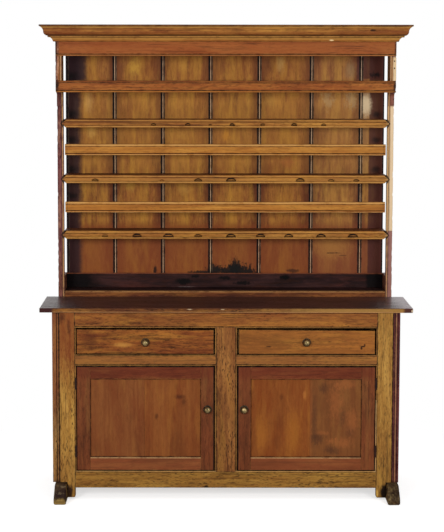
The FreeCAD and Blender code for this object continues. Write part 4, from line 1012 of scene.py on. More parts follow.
pine_floor = pine(
    "pine_floor", ("1a0f10", "281818", "382220"), specks=0.2, blotch=("0a0606", 0.5),
    smudge=("060404", 0.6), gold=("4a241c", 0.3), wear=("7c4226", 0.0, 0.001),
    dirt=("0a0606", 0.0, 0.001), sheen=0.05)

# Materials of the hidden parts and the metal.
pine_inner = {axis: pine(f"pine_inner_{axis}", ("86603a", "aa804e", "c49a64"), specks=0.2,
                         blotch=("8a643c", 0.35), smudge=("5c4024", 0.2), gloss=0.6, grit=0.25,
                         axis=axis) for axis in AXES}
brass = metal("brass", "948058", "3c3420", 0.22, 1.0, 60.0)
brass_dark = metal("brass_dark", "3a3226", "181008", 0.4, 0.9, 80.0)
iron = metal("iron", "241512", "341e14", 0.6, 0.0, 90.0, 0.12)


def plain_board(name, node, material, along="x", seed=0, wear=0.0):
    """A board that stands for a node of the carcass with one squared solid."""
    low, high = corners_of(node)
    form = block(low, high, seed=seed, wear=wear)
    return piece(name, form, material, [node], along, seed)


def round_corner(form, x, z, outward, radius):
    """Round the lower corner of an upright at x, whose outer side points outward along X."""
    across = (form.points[:, 0] - x) * outward + radius
    down = z + radius - form.points[:, 2]
    inside = (across > 0) & (down > 0)
    length = np.hypot(across, down)
    share = np.where(inside & (length > radius), radius / np.maximum(length, TINY), 1.0)
    form.points[:, 0] = np.where(inside, x + (across * share - radius) * outward,
                                 form.points[:, 0])
    form.points[:, 2] = np.where(inside, z + radius - down * share, form.points[:, 2])


def make_base_frame():
    """The stiles, cut out over the feet, and the muntin and rails between them."""
    for word, side in SIDES.items():
        node = f"face_stile_{word}"
        low, high = corners_of(node)
        foot_low, foot_high = corners_of(f"sledge_foot_{word}")
        side_low = corners_of(f"side_{word}")[0]
        across = (-OPEN, foot_high[0]) if side == LEFT else (foot_low[0], OPEN)
        notch = ((across[0], -OPEN, -OPEN), (across[1], OPEN, side_low[2]))
        form = block(low, high, seed=3 + side, cuts=[notch], wear=0.002)
        round_corner(form, high[0] if side == LEFT else low[0], low[2], -side, 0.008)
        piece(node + "_wood", form, pine_frame, [node], "z", 3 + side, (0.05, 0.0))
    plain_board("centre_muntin_wood", "centre_muntin", pine_muntin, along="z",
                seed=7)
    plain_board("top_rail_wood", "top_rail", pine_top, seed=8)
    plain_board("bottom_rail_wood", "bottom_rail", pine_bottom, seed=9,
                wear=0.002)
    low, high = corners_of("mid_rails")
    muntin_low, muntin_high = corners_of("centre_muntin")
    for number, (start, end) in enumerate(((low[0], muntin_low[0]), (muntin_high[0], high[0]))):
        form = block((start, low[1], low[2]), (end, high[1], high[2]), seed=10 + number)
        piece(f"mid_rail_wood_{number + 1}", form, pine_top, ["mid_rails"], "x",
              10 + number)


def bead_slips(bead):
    """Yield each slip in the openings: its ends, whether it lies level, and its low side."""
    hinge_height, hinge_gap = 0.050, 0.001
    outer = corners_of("face_stile_left")[1][0]
    inner = corners_of("centre_muntin")[0][0]
    mid_low, mid_high = corners_of("mid_rails")
    leaf_low, leaf_high = corners_of("frame_hinge_leaves")
    hinge_gaps = [leaf_low[2] - hinge_gap, leaf_low[2] + hinge_height + hinge_gap,
                  leaf_high[2] - hinge_height - hinge_gap, leaf_high[2] + hinge_gap]
    openings = ((mid_high[2], corners_of("top_rail")[0][2], []),
                (corners_of("bottom_rail")[1][2], mid_low[2], hinge_gaps))
    for low, high, gaps in openings:
        for side in (LEFT, RIGHT):
            far, near = (outer, inner) if side == LEFT else (-inner, -outer)
            for z in (low, high - bead):
                yield far, near, True, z
            for x in (far, near - bead):
                at_hinge = (x == far) == (side == LEFT)
                ends = [low + bead] + (gaps if at_hinge else []) + [high - bead]
                for bottom, top in zip(ends[::2], ends[1::2]):
                    yield bottom, top, False, x


def make_opening_beads():
    """Slips with a round front in the drawer and door openings, broken at the hinges."""
    bead, proud = 0.006, 0.0015
    pale_shares = (0.4, 0.6)
    stile_low, stile_high = corners_of("face_stile_left")
    face, back = stile_low[1], stile_high[1]
    shoulder = face - proud + bead / 2
    corners = [(0.0, back), (0.0, shoulder)]
    corners += arc((0, shoulder), (bead, shoulder), bead * 0.501, -1, 8)
    corners += [(bead, shoulder), (bead, back)]
    section = outline(corners, 0.0003, 0.004)
    for count, (start, end, lies_level, place) in enumerate(bead_slips(bead), 1):
        form = run(section, even(start, end, 0.01), level if lies_level else upright)
        axis = "z" if lies_level else "x"
        form.points[:, AXES[axis]] += place
        value = form.points[:, AXES[axis]]
        low = value.min()
        # Painted shade along both sides of the bead and a painted highlight along its round.
        form.hollow = np.minimum(np.abs(value - low), np.abs(value - low - bead)) * 1.2
        form.lighten(axis, low + bead * pale_shares[0], low + bead * pale_shares[1], 0.0005)
        piece(f"opening_bead_{count}", form, pine_bead, ["opening_beads"],
              "x" if lies_level else "z", 100 + count)


# The grooves on the front edges of the side planks, and the painted highlight line along them,
# as shares of their thickness.
SIDE_GROOVES = {"left": (0.62,), "right": (0.32, 0.68)}
SIDE_HIGHLIGHTS = {"left": (0.76, 0.82), "right": (0.40, 0.52)}


def make_sides():
    """The side planks, with grooves darkened by painted shade and a painted highlight line on their
    front edges.
    """
    quirk, depth = 0.0024, 0.003
    line, front_depth = 0.0008, 0.006
    for word, side in SIDES.items():
        node = f"side_{word}"
        low, high = corners_of(node)
        near = low[1]
        width = high[0] - low[0]
        grooves = [low[0] + width * share for share in SIDE_GROOVES[word]]
        corners = [(low[0], near)]
        for middle in grooves:
            corners += [(middle - quirk / 2, near), (middle, near + depth),
                        (middle + quirk / 2, near)]
        corners += [(high[0], near), (high[0], high[1]), (low[0], high[1])]
        form = run(outline(corners, EDGE_RADIUS, COARSE_STEP), even(low[2], high[2], COARSE_STEP),
                   upright)
        form.groove("x", grooves)
        form.groove("x", [high[0] if side == LEFT else low[0]])
        form.hollow = np.where(form.points[:, 1] < near + front_depth,
                               np.maximum(form.hollow - line, 0), FAR)
        start, end = (low[0] + width * share for share in SIDE_HIGHLIGHTS[word])
        form.lighten("x", start, end)
        piece(node + "_wood", form, pine_side[word], [node], "z", 13 + side)


def make_feet():
    """The sledge feet, lumpy with wear, each leaning a little outward at its top."""
    toe, slope = 0.029, 0.067
    lump_size, lump_depth = 0.022, 0.0012
    lean, lean_reach = 0.0045, 0.012
    for word, side in SIDES.items():
        node = f"sledge_foot_{word}"
        low, high = corners_of(node)
        corners = [(low[1], low[2]), (high[1], low[2]), (high[1], high[2]),
                   (low[1] + slope, high[2]), (low[1], low[2] + toe)]
        form = run(outline(corners, 0.012, 0.005), even(low[0], high[0], 0.006), lengthwise,
                   end_radius=0.008)
        lumps = noise(form.points, lump_size, 31 + side) * lump_depth
        inward = form.points - (low + high) / 2
        inward /= np.linalg.norm(inward, axis=1, keepdims=True)
        form.points -= inward * np.abs(lumps)[:, None]
        rise = (form.points[:, 2] - low[2]) / (high[2] - low[2])
        inner = high[0] if side == LEFT else low[0]
        pulled = smooth_step(rise, 0.3, 1.0) * lean
        form.points[:, 0] -= np.where(np.abs(form.points[:, 0] - inner) < lean_reach,
                                      pulled * -side, 0)
        form.points = np.clip(form.points, low, high)
        piece(node + "_wood", form, pine_foot, [node], "y", 15 + side, (0.1 * side, 0))


def make_counter():
    """The counter board, with its own wood on the front and end faces."""
    low, high = corners_of("counter_top")
    form = block(low, high, step=0.02, radius=0.003, seed=17, wear=0.0015, rough=0.3)
    made = piece("counter_board", form, pine_counter, ["counter_top"], "x", 17)
    made.data.materials.append(pine_counter_edge)
    facing = 0.6
    for face in made.data.polygons:
        if face.normal.y < -facing or abs(face.normal.x) > facing:
            face.material_index = 1


def darken_rim(form, low, high):
    """Dirt and painted shade on the faces of a front or door that meet the opening, behind its front
    edge.
    """
    front_depth, touch = 0.0025, 0.0002
    points = form.points
    gap = np.full(len(points), FAR)
    for axis in (0, 2):
        for place in (low[axis], high[axis]):
            gap = np.minimum(gap, np.abs(points[:, axis] - place))
    behind = points[:, 1] > low[1] + front_depth
    form.hollow = np.where(behind & (gap < touch), 0.0, form.hollow)


# How far the drawer fronts have shrunk at the muntin, at the stile, and at the left and right end
# of the top.
DRAWER_SHRINKS = {"left": (0.003, 0.0, 0.004, 0.006), "right": (0.005, 0.002, 0.004, 0.0085)}


def make_drawer(word, side, seed):
    """A drawer front, shrunk a little towards the muntin and along its top."""
    body = f"drawer_{word}"
    inner_shrink, outer_shrink, top_start, top_end = DRAWER_SHRINKS[word]
    low, high = corners_of(f"{body}_front")
    if side == LEFT:
        high[0] -= inner_shrink
    else:
        low[0] += inner_shrink
        high[0] -= outer_shrink
    form = block(low, high, seed=seed, radius=0.0018, wear=0.0012)
    darken_rim(form, low, high)
    along = (form.points[:, 0] - low[0]) / (high[0] - low[0])
    up = (form.points[:, 2] - low[2]) / (high[2] - low[2])
    form.points[:, 2] -= up * (top_start + (top_end - top_start) * along)
    piece(f"{body}_face", form, pine_drawer, [f"{body}_front"], "x", seed,
          body=body)


# Where the joint of a panel's two boards lies, as a share of its width, and how much lighter
# and greyer each board is than the rest.
PANEL_JOINTS = {"left": 0.49, "right": 0.535}
PANEL_TINTS = {"left": ((-0.25, 0.0), (-0.05, -0.05)), "right": ((0.25, -0.1), (-0.05, 0.0))}


def make_door(word, seed):
    """A door's stiles, rails and two panel boards, each with its own grain."""
    body = f"door_{word}"
    stile_width, rail_width, recess, panel_thickness = 0.058, 0.056, 0.009, 0.008
    arris, panel_arris, tuck = 0.0013, 0.0008, 0.001
    lip, clean_joint = 0.0025, 0.0014
    low, high = corners_of(f"{body}_stiles")
    inner_low, inner_high = low[0] + stile_width, high[0] - stile_width
    rail_top, rail_foot = low[2] + rail_width, high[2] - rail_width
    for number, (start, end) in enumerate(((low[0], inner_low), (inner_high, high[0]))):
        form = block((start, low[1], low[2]), (end, high[1], high[2]), seed=seed + number,
                     radius=arris)
        darken_rim(form, low, high)
        piece(f"{body}_stile_wood_{number + 1}", form, pine_door,
              [f"{body}_stiles"], "z", seed + number, body=body)
    for number, (start, end) in enumerate(((low[2], rail_top), (rail_foot, high[2]))):
        form = block((inner_low, low[1], start), (inner_high, high[1], end),
                     seed=seed + 2 + number, radius=arris)
        darken_rim(form, low, high)
        if number == 0:
            # A worn top arris on the bottom rail, with a painted highlight along it.
            form.lighten("z", end - lip, end, 0.0003)
        piece(f"{body}_rail_wood_{number + 1}", form, pine_lip,
              [f"{body}_rails"], "x", seed + 2 + number, body=body)
    panel_low, panel_high = corners_of(f"{body}_panel")
    joint = panel_low[0] + (panel_high[0] - panel_low[0]) * PANEL_JOINTS[word]
    near = low[1] + recess
    far = near + panel_thickness
    for number, (start, end) in enumerate(((inner_low - tuck, joint), (joint, inner_high + tuck))):
        form = block((start, near, rail_top - tuck), (end, far, rail_foot + tuck),
                     seed=seed + 4 + number, radius=panel_arris)
        outer_x = start if number == 0 else end
        # The distance to the frame, for the dirt and painted shade where the panel meets it.
        form.edge = np.minimum(np.abs(form.points[:, 0] - outer_x),
                               np.minimum(form.points[:, 2] - low[2] - rail_width,
                                          high[2] - rail_width - form.points[:, 2]))
        form.groove("x", [joint])
        form.hollow = form.hollow + clean_joint
        piece(f"{body}_panel_wood_{number + 1}", form, pine_panel,
              [f"{body}_panel"], "z", seed + 4 + number, PANEL_TINTS[word][number], body)


# A knob's rose as (reach, share of its radius), and as (reach, radius) the ring where the knob
# meets it and the knob's neck.
ROSE = ((0.0, 1.0), (0.0008, 1.0), (0.0022, 0.93), (0.0026, 0.80), (0.0020, 0.72), (0.0030, 0.60))
ROSE_SEAT = (0.0030, 0.0060)
NECK = ((0.001, 0.0055), (0.0075, 0.0055), (0.0095, 0.0064), (0.0112, 0.0095))


def make_knob(body, node):
    """A turned brass knob on a ringed rose."""
    low, high = corners_of(node)
    centre = ((low[0] + high[0]) / 2, high[1], (low[2] + high[2]) / 2)
    rose_radius = (high[0] - low[0]) / 2
    reach = high[1] - low[1]
    rose = [(out, rose_radius * share) for out, share in ROSE] + [ROSE_SEAT]
    piece(f"{node}_rose_metal", lathe(rose, centre), brass_dark, [node], body=body)
    radius, least, start, rows, fullness = 0.0155, 0.0004, 0.0125, 12, 0.75
    ball = list(NECK)
    for number in range(rows + 1):
        angle = number / rows * math.pi / 2
        ball.append((start + (reach - start) * math.sin(angle),
                     max(least, radius * math.cos(angle) ** fullness)))
    piece(f"{node}_metal", lathe(ball, centre), brass, [node], body=body)


def post_levels(low, high, face, tips):
    """Heights of a post's rings with the depth of its face: the steps and the scooped bracket."""
    rail_low, rail_high = corners_of("canopy_rail")
    frieze_low = corners_of("frieze")[0]
    foot, scoop = rail_low[2] - 0.065, rail_low[2] - 0.022
    bracket = face - 0.010
    canopy = rail_high[1]
    levels = [(z, face) for z in even(low[2], foot, 0.006)]
    levels += [(z, bracket) for z in even(foot, scoop, 0.005)]
    for share in np.linspace(0.1, 1, 8):
        angle = share * math.pi / 2
        levels.append((scoop + (rail_low[2] - scoop) * math.sin(angle),
                       bracket - (bracket - canopy) * (1 - math.cos(angle))))
    levels += [(z, canopy) for z in even(rail_low[2], rail_high[2], 0.006)]
    levels += [(z, low[1]) for z in even(rail_high[2], frieze_low[2], 0.006)]
    levels += [(z, canopy) for z in even(frieze_low[2], high[2], 0.01)]
    for tip_low, tip_high in tips:
        beside = [(z, face) for z in even(tip_low[2] - 0.004, tip_high[2] + 0.004, 0.0012)]
        levels = [row for row in levels
                  if not tip_low[2] - 0.006 < row[0] < tip_high[2] + 0.006] + beside
    return sorted(levels, key=lambda row: row[0])


def finely(corners, step):
    """A closed outline cut into short parts. Sides as long as the post is deep get five."""
    fine = []
    for index, (a, b) in enumerate(corners):
        after = corners[(index + 1) % len(corners)]
        length = abs(after[0] - a) + abs(after[1] - b)
        parts = 5 if length > 0.5 else max(1, math.ceil(length / step))
        for part in range(parts):
            fine.append((a + (after[0] - a) * part / parts, b + (after[1] - b) * part / parts))
    return np.array(fine)


def tip_shadow(a, z, inner, tip_low, tip_high):
    """How far points of a post's face lie from the pointed end of a shelf's edge."""
    reach = tip_high[0] - abs(inner)
    middle, half = (tip_low[2] + tip_high[2]) / 2, (tip_high[2] - tip_low[2]) / 2
    beyond = (np.abs(a) - abs(inner)) / reach
    off = np.abs(z - middle) - half * (1 - np.clip(beyond, 0, 1))
    past = np.maximum(beyond - 1, 0) * reach
    return np.maximum(np.hypot(np.maximum(off, 0) * 0.5, past) - 0.0012, 0)


def make_posts():
    """The rack's posts: a quirk with painted shade and a bead with a painted highlight along the
    inner edge, painted shadows round the shelf tips, and a worn outer edge.
    """
    quirk_start, quirk_width, quirk_depth = 0.007, 0.0022, 0.003
    pale_start, chip_size, chip_depth = 0.003, 0.018, 0.004
    face = corners_of("guard_rail_lower")[0][1]
    tips = [corners_of(f"shelf_edge_{shelf}") for shelf in ("lower", "middle", "upper")]
    for word, side in SIDES.items():
        node = f"rack_post_{word}"
        low, high = corners_of(node)
        levels = post_levels(low, high, face, tips)
        inner, outer = (high[0], low[0]) if side == LEFT else (low[0], high[0])
        start = inner + quirk_start * side
        end = start + quirk_width * side
        # The outline's second value is a depth: above zero a share of the post's depth.
        fine = finely([(inner, 0.0), (inner, 1.0), (outer, 1.0), (outer, 0.0), (end, 0.0),
                       (end, -quirk_depth), (start, -quirk_depth), (start, 0.0)], 0.0015)
        rows, count = len(levels), len(fine)
        z = np.repeat([row[0] for row in levels], count)
        front = np.repeat([row[1] for row in levels], count)
        a, b = np.tile(fine[:, 0], rows), np.tile(fine[:, 1], rows)
        points = np.stack([a, np.where(b >= 0, front + (high[1] - front) * b, front - b), z],
                          axis=1)
        quads, index = rings(rows, count)
        if side == LEFT:
            quads = quads[:, ::-1]
        faces = quads.tolist() + [index[0].tolist(), index[-1].tolist()]
        edge = np.minimum(np.abs(a - outer), np.abs(a - inner))
        worn = np.clip(noise(points, chip_size, 40 + side) - 0.15, 0, 1) * chip_depth
        points[:, 0] -= np.where(np.abs(a - outer) < 0.001, worn * side, 0)
        # Painted shade in the quirk, and painted shadows round the tips of the shelf edges.
        hollow = np.where(b < 0, 0.0, FAR)
        for tip_low, tip_high in tips:
            away = tip_shadow(a, z, inner, tip_low, tip_high)
            hollow = np.minimum(hollow, np.where(b == 0, away, FAR))
        form = Form(points, faces, edge, hollow)
        form.front = front
        bounds = sorted((inner + pale_start * side, start))
        form.lighten("x", bounds[0], bounds[1], 0.0008)
        piece(node + "_wood", form, pine_post, [node], "z", 40 + side)


# The bead and the quirk that run along the foot of the guard rails and of the frieze, and how
# round a bead is: the share of its width that its radius is.
RAIL_BEAD = 0.007
RAIL_QUIRK = 0.002
BEAD_DEPTH = 0.003
BEAD_ROUND = 0.53


def beaded_foot(front, foot, bead, quirk):
    """Corners of a quirk and a round bead along the foot of a face, in (y, z)."""
    back = front + BEAD_DEPTH
    corners = [(front, foot + bead + quirk), (back, foot + bead + quirk * 0.5),
               (back, foot + bead)]
    return corners + arc((back, foot + bead), (back, foot), bead * BEAD_ROUND, -1) + [(back, foot)]


def rail_section(low, high):
    """The section of a guard rail in (y, z): sloped band, flat, quirk and bead."""
    slope_depth, band_height = 0.0035, 0.010
    front, foot, top = low[1], low[2], high[2]
    corners = [(high[1], foot), (high[1], top), (front + slope_depth, top),
               (front, top - band_height)]
    return outline(corners + beaded_foot(front, foot, RAIL_BEAD, RAIL_QUIRK), 0.001, 0.004)


def nibble(form, low, high, amount, reach, seed):
    """Bite small pieces out of both ends of a long piece."""
    stretch, bite_size, bite_share = np.array([0.2, 1, 1]), 0.009, 0.25
    x = form.points[:, 0]
    from_end = np.minimum(x - low[0], high[0] - x)
    bite = np.clip(noise(form.points * stretch, bite_size, seed) + bite_share, 0, 1)
    share = 1 - smooth_step(from_end, 0, reach)
    middle = (low[0] + high[0]) / 2
    form.points[:, 0] -= np.sign(x - middle) * bite * amount * share
    form.hollow = np.where(from_end < reach * 0.5, np.minimum(form.hollow, from_end), form.hollow)


def make_guard_rails():
    """The two rails between the posts, with painted shade where they meet them, and the canopy's
    rail.
    """
    shoulder, post_line = 0.731, 0.722
    outer_start, inner_end = 0.716, 0.706
    band_line, bead_line = 0.0105, 0.008
    ends = even(outer_start, shoulder, 0.002)
    stations = np.concatenate([-ends[::-1], even(-inner_end, inner_end, 0.01), ends])
    for number, node in enumerate(("guard_rail_lower", "guard_rail_middle")):
        low, high = corners_of(node)
        form = run(rail_section(low, high), stations, lengthwise, end_radius=0.0012)
        # Painted highlights on the top band and along the bead, and painted shade in the grooves and
        # where the rails meet the posts.
        form.lighten("z", high[2] - 0.006, high[2] - 0.003)
        form.lighten("z", low[2] + 0.001, low[2] + 0.003)
        form.groove("z", [high[2] - band_line])
        form.hollow = np.minimum(form.hollow, np.abs(np.abs(form.points[:, 0]) - post_line))
        form.hollow = form.hollow + 0.0008
        form.groove("z", [low[2] + bead_line])
        wobble = noise(form.points * np.array([1, 0, 0]), 0.12, 50 + number) * 0.0005
        form.points[:, 2] += wobble
        piece(node + "_wood", form, pine_rack, [node], "x", 50 + number,
              (0.22 - 0.12 * number, 0))
    low, high = corners_of("canopy_rail")
    form = run(rail_section(low, high), even(low[0], high[0], 0.006), lengthwise,
               end_radius=0.0015)
    nibble(form, low, high, 0.0030, 0.012, 52)
    form.groove("z", [high[2] - band_line, low[2] + bead_line])
    form.hollow = form.hollow + 0.0004
    # A painted highlight along the bead.
    form.lighten("z", low[2], low[2] + 0.006)
    piece("canopy_rail_wood", form, pine_rail, ["canopy_rail"], "x", 52)


# The shelf edges: where they reach the posts and where their ends begin to taper, the depth of
# the lips, and the grooves, the painted highlight bands and the foot of the notches as shares of the
# height.
EDGE_INNER = 0.737
EDGE_TAPER = 0.727
EDGE_LIP = 0.0055
EDGE_GROOVES = (0.22, 0.70)
EDGE_HIGHLIGHTS = ((0.84, 0.90), (0.08, 0.17))
NOTCH_FOOT = 0.30
NOTCH_EDGE = 0.08

# Places of the notches, as shares of the width between the posts, and their relative sizes.
LOWER_NOTCHES = ((-0.373, 0.65), (-0.274, 1.0), (-0.176, 1.1), (-0.084, 0.85), (0.018, 1.0),
                 (0.11, 1.0), (0.198, 0.95), (0.298, 1.0), (0.397, 1.05))
MIDDLE_NOTCHES = ((-0.403, 0.8), (-0.196, 0.5), (-0.084, 0.9), (0.018, 1.15), (0.232, 1.0),
                  (0.328, 0.7), (0.406, 0.7))
UPPER_NOTCHES = ((-0.222, 1.0), (-0.116, 1.1), (-0.047, 0.6), (0.021, 1.0), (0.115, 0.9),
                 (0.212, 1.1), (0.303, 0.9))


def shelf_edge_section(low, high, face):
    """A round face between two lips, with two shallow grooves, as corners in (y, z)."""
    groove_depth, groove_share = 0.0010, 0.04
    corners = [(high[1], low[2]), (high[1], high[2])]
    for share in np.linspace(1, 0, 41):
        bulge = EDGE_LIP * (2 * share - 1) ** 2
        for groove in EDGE_GROOVES:
            bulge += groove_depth * max(0.0, 1 - abs(share - groove) / groove_share)
        corners.append((face + bulge, low[2] + (high[2] - low[2]) * share, 0))
    return outline(corners, 0.0012, 0.003)


def notch_depths(points, foot, notches, width, height):
    """How deep the notches cut at each point, from 0 to 1, and how dark the painted shade in them is
    there, lighter where light falls on the lower slope.
    """
    depth = np.zeros(len(points))
    shown = np.zeros(len(points))
    for place, scale in notches:
        across = np.abs(points[:, 0] - place * EDGE_INNER * 2) / (width / 2 * scale)
        up = (points[:, 2] - foot) / (height * scale)
        dome = np.sqrt(np.clip(1 - across ** 2, 0, 1))
        inside = smooth_step(dome - up, 0.0, 0.25) * smooth_step(up, -0.25, 0.35)
        inside = inside * (across < 1)
        depth = np.maximum(depth, inside)
        lit = smooth_step(0.55 * dome - up, 0.0, 0.2) * smooth_step(up, 0.05, 0.2) * (across < 1)
        shown = np.maximum(shown, (inside > NOTCH_EDGE) * (1 - lit * 0.75) * min(1.0, scale))
    return depth, shown


def make_shelf_edge(word, notches, notch_width, notch_height, seed):
    """A shelf edge with a rounded face, pointed ends and spoon notches, with painted shade in the
    notches and round the pointed ends.
    """
    node = f"shelf_edge_{word}"
    proud, dished, rim_dirt, clean, end_gap = 0.0008, 0.008, 0.0026, 0.0007, 0.0005
    low, high = corners_of(node)
    tip, height = high[0], high[2] - low[2]
    face = corners_of("guard_rail_lower")[0][1]
    stations = np.concatenate([even(-tip + end_gap, -EDGE_INNER, 0.001),
                               even(-EDGE_INNER, EDGE_INNER, 0.0028)[1:-1],
                               even(EDGE_INNER, tip - end_gap, 0.001)])
    form = run(shelf_edge_section(low, high, face), stations, lengthwise)
    points = form.points
    share = (points[:, 2] - low[2]) / height
    form.groove("z", [low[2] + height * groove for groove in EDGE_GROOVES])
    form.hollow = form.hollow + clean
    for start, end in EDGE_HIGHLIGHTS:
        form.lighten("z", low[2] + height * start, low[2] + height * end)
    beyond = np.clip((np.abs(points[:, 0]) - EDGE_TAPER) / (tip - EDGE_TAPER), 0, 1)
    half = height / 2 * (1 - beyond)
    from_rim = np.where(points[:, 1] < face + EDGE_LIP, half * (1 - np.abs(share * 2 - 1)), 0)
    # Painted shade round the pointed ends, where they meet the posts.
    form.hollow = np.where(beyond > 0, np.minimum(form.hollow, from_rim * 0.6), form.hollow)
    foot = low[2] + height * NOTCH_FOOT
    depth, shown = notch_depths(points, foot, notches, notch_width, notch_height)
    front_side = points[:, 1] < (face + high[1]) / 2
    points[:, 1] += np.where(front_side, depth * dished, 0)
    form.hollow = np.where(front_side & (depth > NOTCH_EDGE),
                           np.minimum(form.hollow, rim_dirt * (1 - shown)), form.hollow)
    ahead = face - proud + (points[:, 1] - face) * 0.1
    points[:, 1] = np.where(front_side & (np.abs(points[:, 0]) > EDGE_INNER), ahead,
                            points[:, 1])
    middle = (low[2] + high[2]) / 2
    points[:, 2] = middle + (points[:, 2] - middle) * (1 - beyond)
    piece(node + "_wood", form, pine_edge, [node], "x", seed)


def make_shelves():
    """The three shelves and their edges."""
    shelves = (("lower", LOWER_NOTCHES, 0.044, 0.0145, 60),
               ("middle", MIDDLE_NOTCHES, 0.040, 0.0140, 63),
               ("upper", UPPER_NOTCHES, 0.024, 0.0100, 66))
    for word, notches, width, height, seed in shelves:
        plain_board(f"shelf_{word}_wood", f"shelf_{word}", pine_shelf, seed=seed)
        make_shelf_edge(word, notches, width, height, seed + 1)


def make_rack_base():
    """The sill, the floor, the plinth board and the two short boards that close the foot."""
    low, high = corners_of("rack_sill")
    form = block(low, high, seed=70, radius=0.004)
    # A painted highlight along the sill's top edge.
    form.lighten("z", high[2] - 0.006, high[2])
    piece("rack_sill_wood", form, pine_sill, ["rack_sill"], "x", 70)
    plain_board("rack_floor_wood", "rack_floor", pine_floor, seed=71)
    low, high = corners_of("rack_plinth")
    form = block(low, high, seed=72)
    # A painted highlight along the plinth's top edge.
    form.lighten("z", high[2] - 0.0025, high[2], 0.0015)
    piece("rack_plinth_wood", form, pine_plinth, ["rack_plinth"], "x", 72)
    low, high = corners_of("rack_end_boards")
    post_low, post_high = corners_of("rack_post_left")
    width = post_high[0] - post_low[0]
    for number, (start, end) in enumerate(((low[0], low[0] + width), (high[0] - width, high[0]))):
        form = block((start, low[1], low[2]), (end, high[1], high[2]), seed=73 + number)
        piece(f"rack_end_wood_{number + 1}", form, pine_post, ["rack_end_boards"],
              "y", 73 + number)


# The width of each back board but the last, as a share of the whole back, and how much lighter
# and greyer each board is.
BACK_BOARDS = (0.151, 0.151, 0.15, 0.153, 0.164, 0.155)
BACK_TINTS = ((0.1, 0.0), (0.1, 0.0), (0.05, 0.0), (0.0, 0.0), (0.05, 0.0), (0.05, 0.1),
              (0.0, 0.1))


def make_rack_back():
    """Upright boards, each with a bead and a quirk at its left edge and a chamfer at its right."""
    low, high = corners_of("rack_back_boards")
    whole = high[0] - low[0]
    bead, quirk, depth, chamfer = 0.008, 0.0035, 0.004, 0.002
    joint_shade = 0.0025
    start = low[0]
    near = low[1]
    for number, share in enumerate(BACK_BOARDS + (None,)):
        end = start + whole * share if share else high[0]
        seat = near + depth
        corners = [(start, high[1]), (start, seat)]
        corners += arc((start, seat), (start + bead, seat), bead * BEAD_ROUND, -1)
        corners += [(start + bead, seat), (start + bead + quirk / 2, seat),
                    (start + bead + quirk, near), (start + bead + quirk * 1.6, near, 0),
                    (start + bead + quirk * 2.4, near, 0), (end - joint_shade * 3, near, 0),
                    (end - joint_shade * 1.6, near, 0), (end - chamfer, near),
                    (end, near + chamfer), (end, high[1])]
        form = run(outline(corners, 0.0006, 0.01), even(low[2], high[2], 0.02), upright)
        if number:
            # Painted highlights on the bead and along the quirk's edge.
            form.lighten("x", start + bead * 0.5, start + bead * 0.7, 0.0005)
        form.lighten("x", start + bead + quirk, start + bead + quirk + 0.001, 0.0006)
        form.hollow = form.points[:, 0] - start
        form.groove("x", [start + bead + quirk / 2, end - joint_shade])
        form.hollow = np.where(form.pale > 0.3, FAR, form.hollow)
        piece(f"rack_back_board_{number + 1}", form, pine_back,
              ["rack_back_boards"], "z", 80 + number, BACK_TINTS[number])
        start = end


# Heights of the cornice's painted highlight bands, as shares of its height.
CORNICE_HIGHLIGHTS = ((0.12, 0.24), (0.27, 0.33), (0.80, 0.90))


def cornice_section(out, height):
    """The cornice's section as (out, up) corners: an ovolo, a fillet, a cyma and a top fillet."""
    def at(out_share, up_share):
        return out * out_share, height * up_share

    ovolo, ovolo_top, fillet, fillet_top = at(0.14, 0), at(0.34, 0.26), at(0.47, 0.26), at(0.47, 0.34)
    cyma, cyma_top = at(0.73, 0.54), at(0.96, 0.90)
    corners = [at(0, 0), ovolo] + arc(ovolo, ovolo_top, height * 0.34, 1)
    corners += [ovolo_top, fillet, fillet_top] + arc(fillet_top, cyma, height * 0.27, -1)
    corners += [cyma + (0,)] + arc(cyma, cyma_top, height * 0.37, 1)
    corners += [cyma_top, at(1, 0.90), at(1, 1), at(0, 1)]
    return outline(corners, 0.0012, 0.004)


def make_frieze():
    """The frieze board with a bead along its foot, and the dust board behind it."""
    low, high = corners_of("frieze")
    corners = [(high[1], low[2]), (high[1], high[2]), (low[1], high[2])]
    corners += beaded_foot(low[1], low[2], RAIL_BEAD, RAIL_QUIRK)
    form = run(outline(corners, 0.001, 0.006), even(low[0], high[0], 0.012), lengthwise,
               end_radius=0.0012)
    # A painted highlight along the bead.
    form.lighten("z", low[2] + 0.0015, low[2] + RAIL_BEAD - 0.0015)
    piece("frieze_wood", form, pine_frieze, ["frieze"], "x", 90)
    plain_board("dust_board_wood", "dust_board", pine_inner["x"], seed=91)


def make_cornice():
    """The cornice's front piece and its two side pieces, mitred at the corners."""
    frieze_low, frieze_high = corners_of("frieze")
    front_low, front_high = corners_of("cornice_front")
    back = corners_of("cornice_sides")[1][1]
    side_face, face, foot = frieze_high[0], frieze_low[1], front_low[2]
    height = front_high[2] - foot
    section = cornice_section(front_high[0] - side_face, height)

    def along_front(where, a, b):
        return np.stack([where * (side_face + a), face - a, foot + b], axis=1)

    def along_side(where, a, b, side):
        return np.stack([side * (side_face + a), face - a + (back - face + a) * where, foot + b],
                        axis=1)

    def put_up(name, form, node, along, seed):
        for share_low, share_high in CORNICE_HIGHLIGHTS:
            form.lighten("z", foot + height * share_low, foot + height * share_high)
        piece(name, form, pine_cornice, [node], along, seed)

    put_up("cornice_front_wood", run(section, even(-1, 1, 0.012), along_front), "cornice_front",
           "x", 92)
    for word, side in SIDES.items():
        form = run(section, even(0, 1, 0.03), functools.partial(along_side, side=side))
        put_up(f"cornice_{word}_wood", form, "cornice_sides", "y", 93 + side)


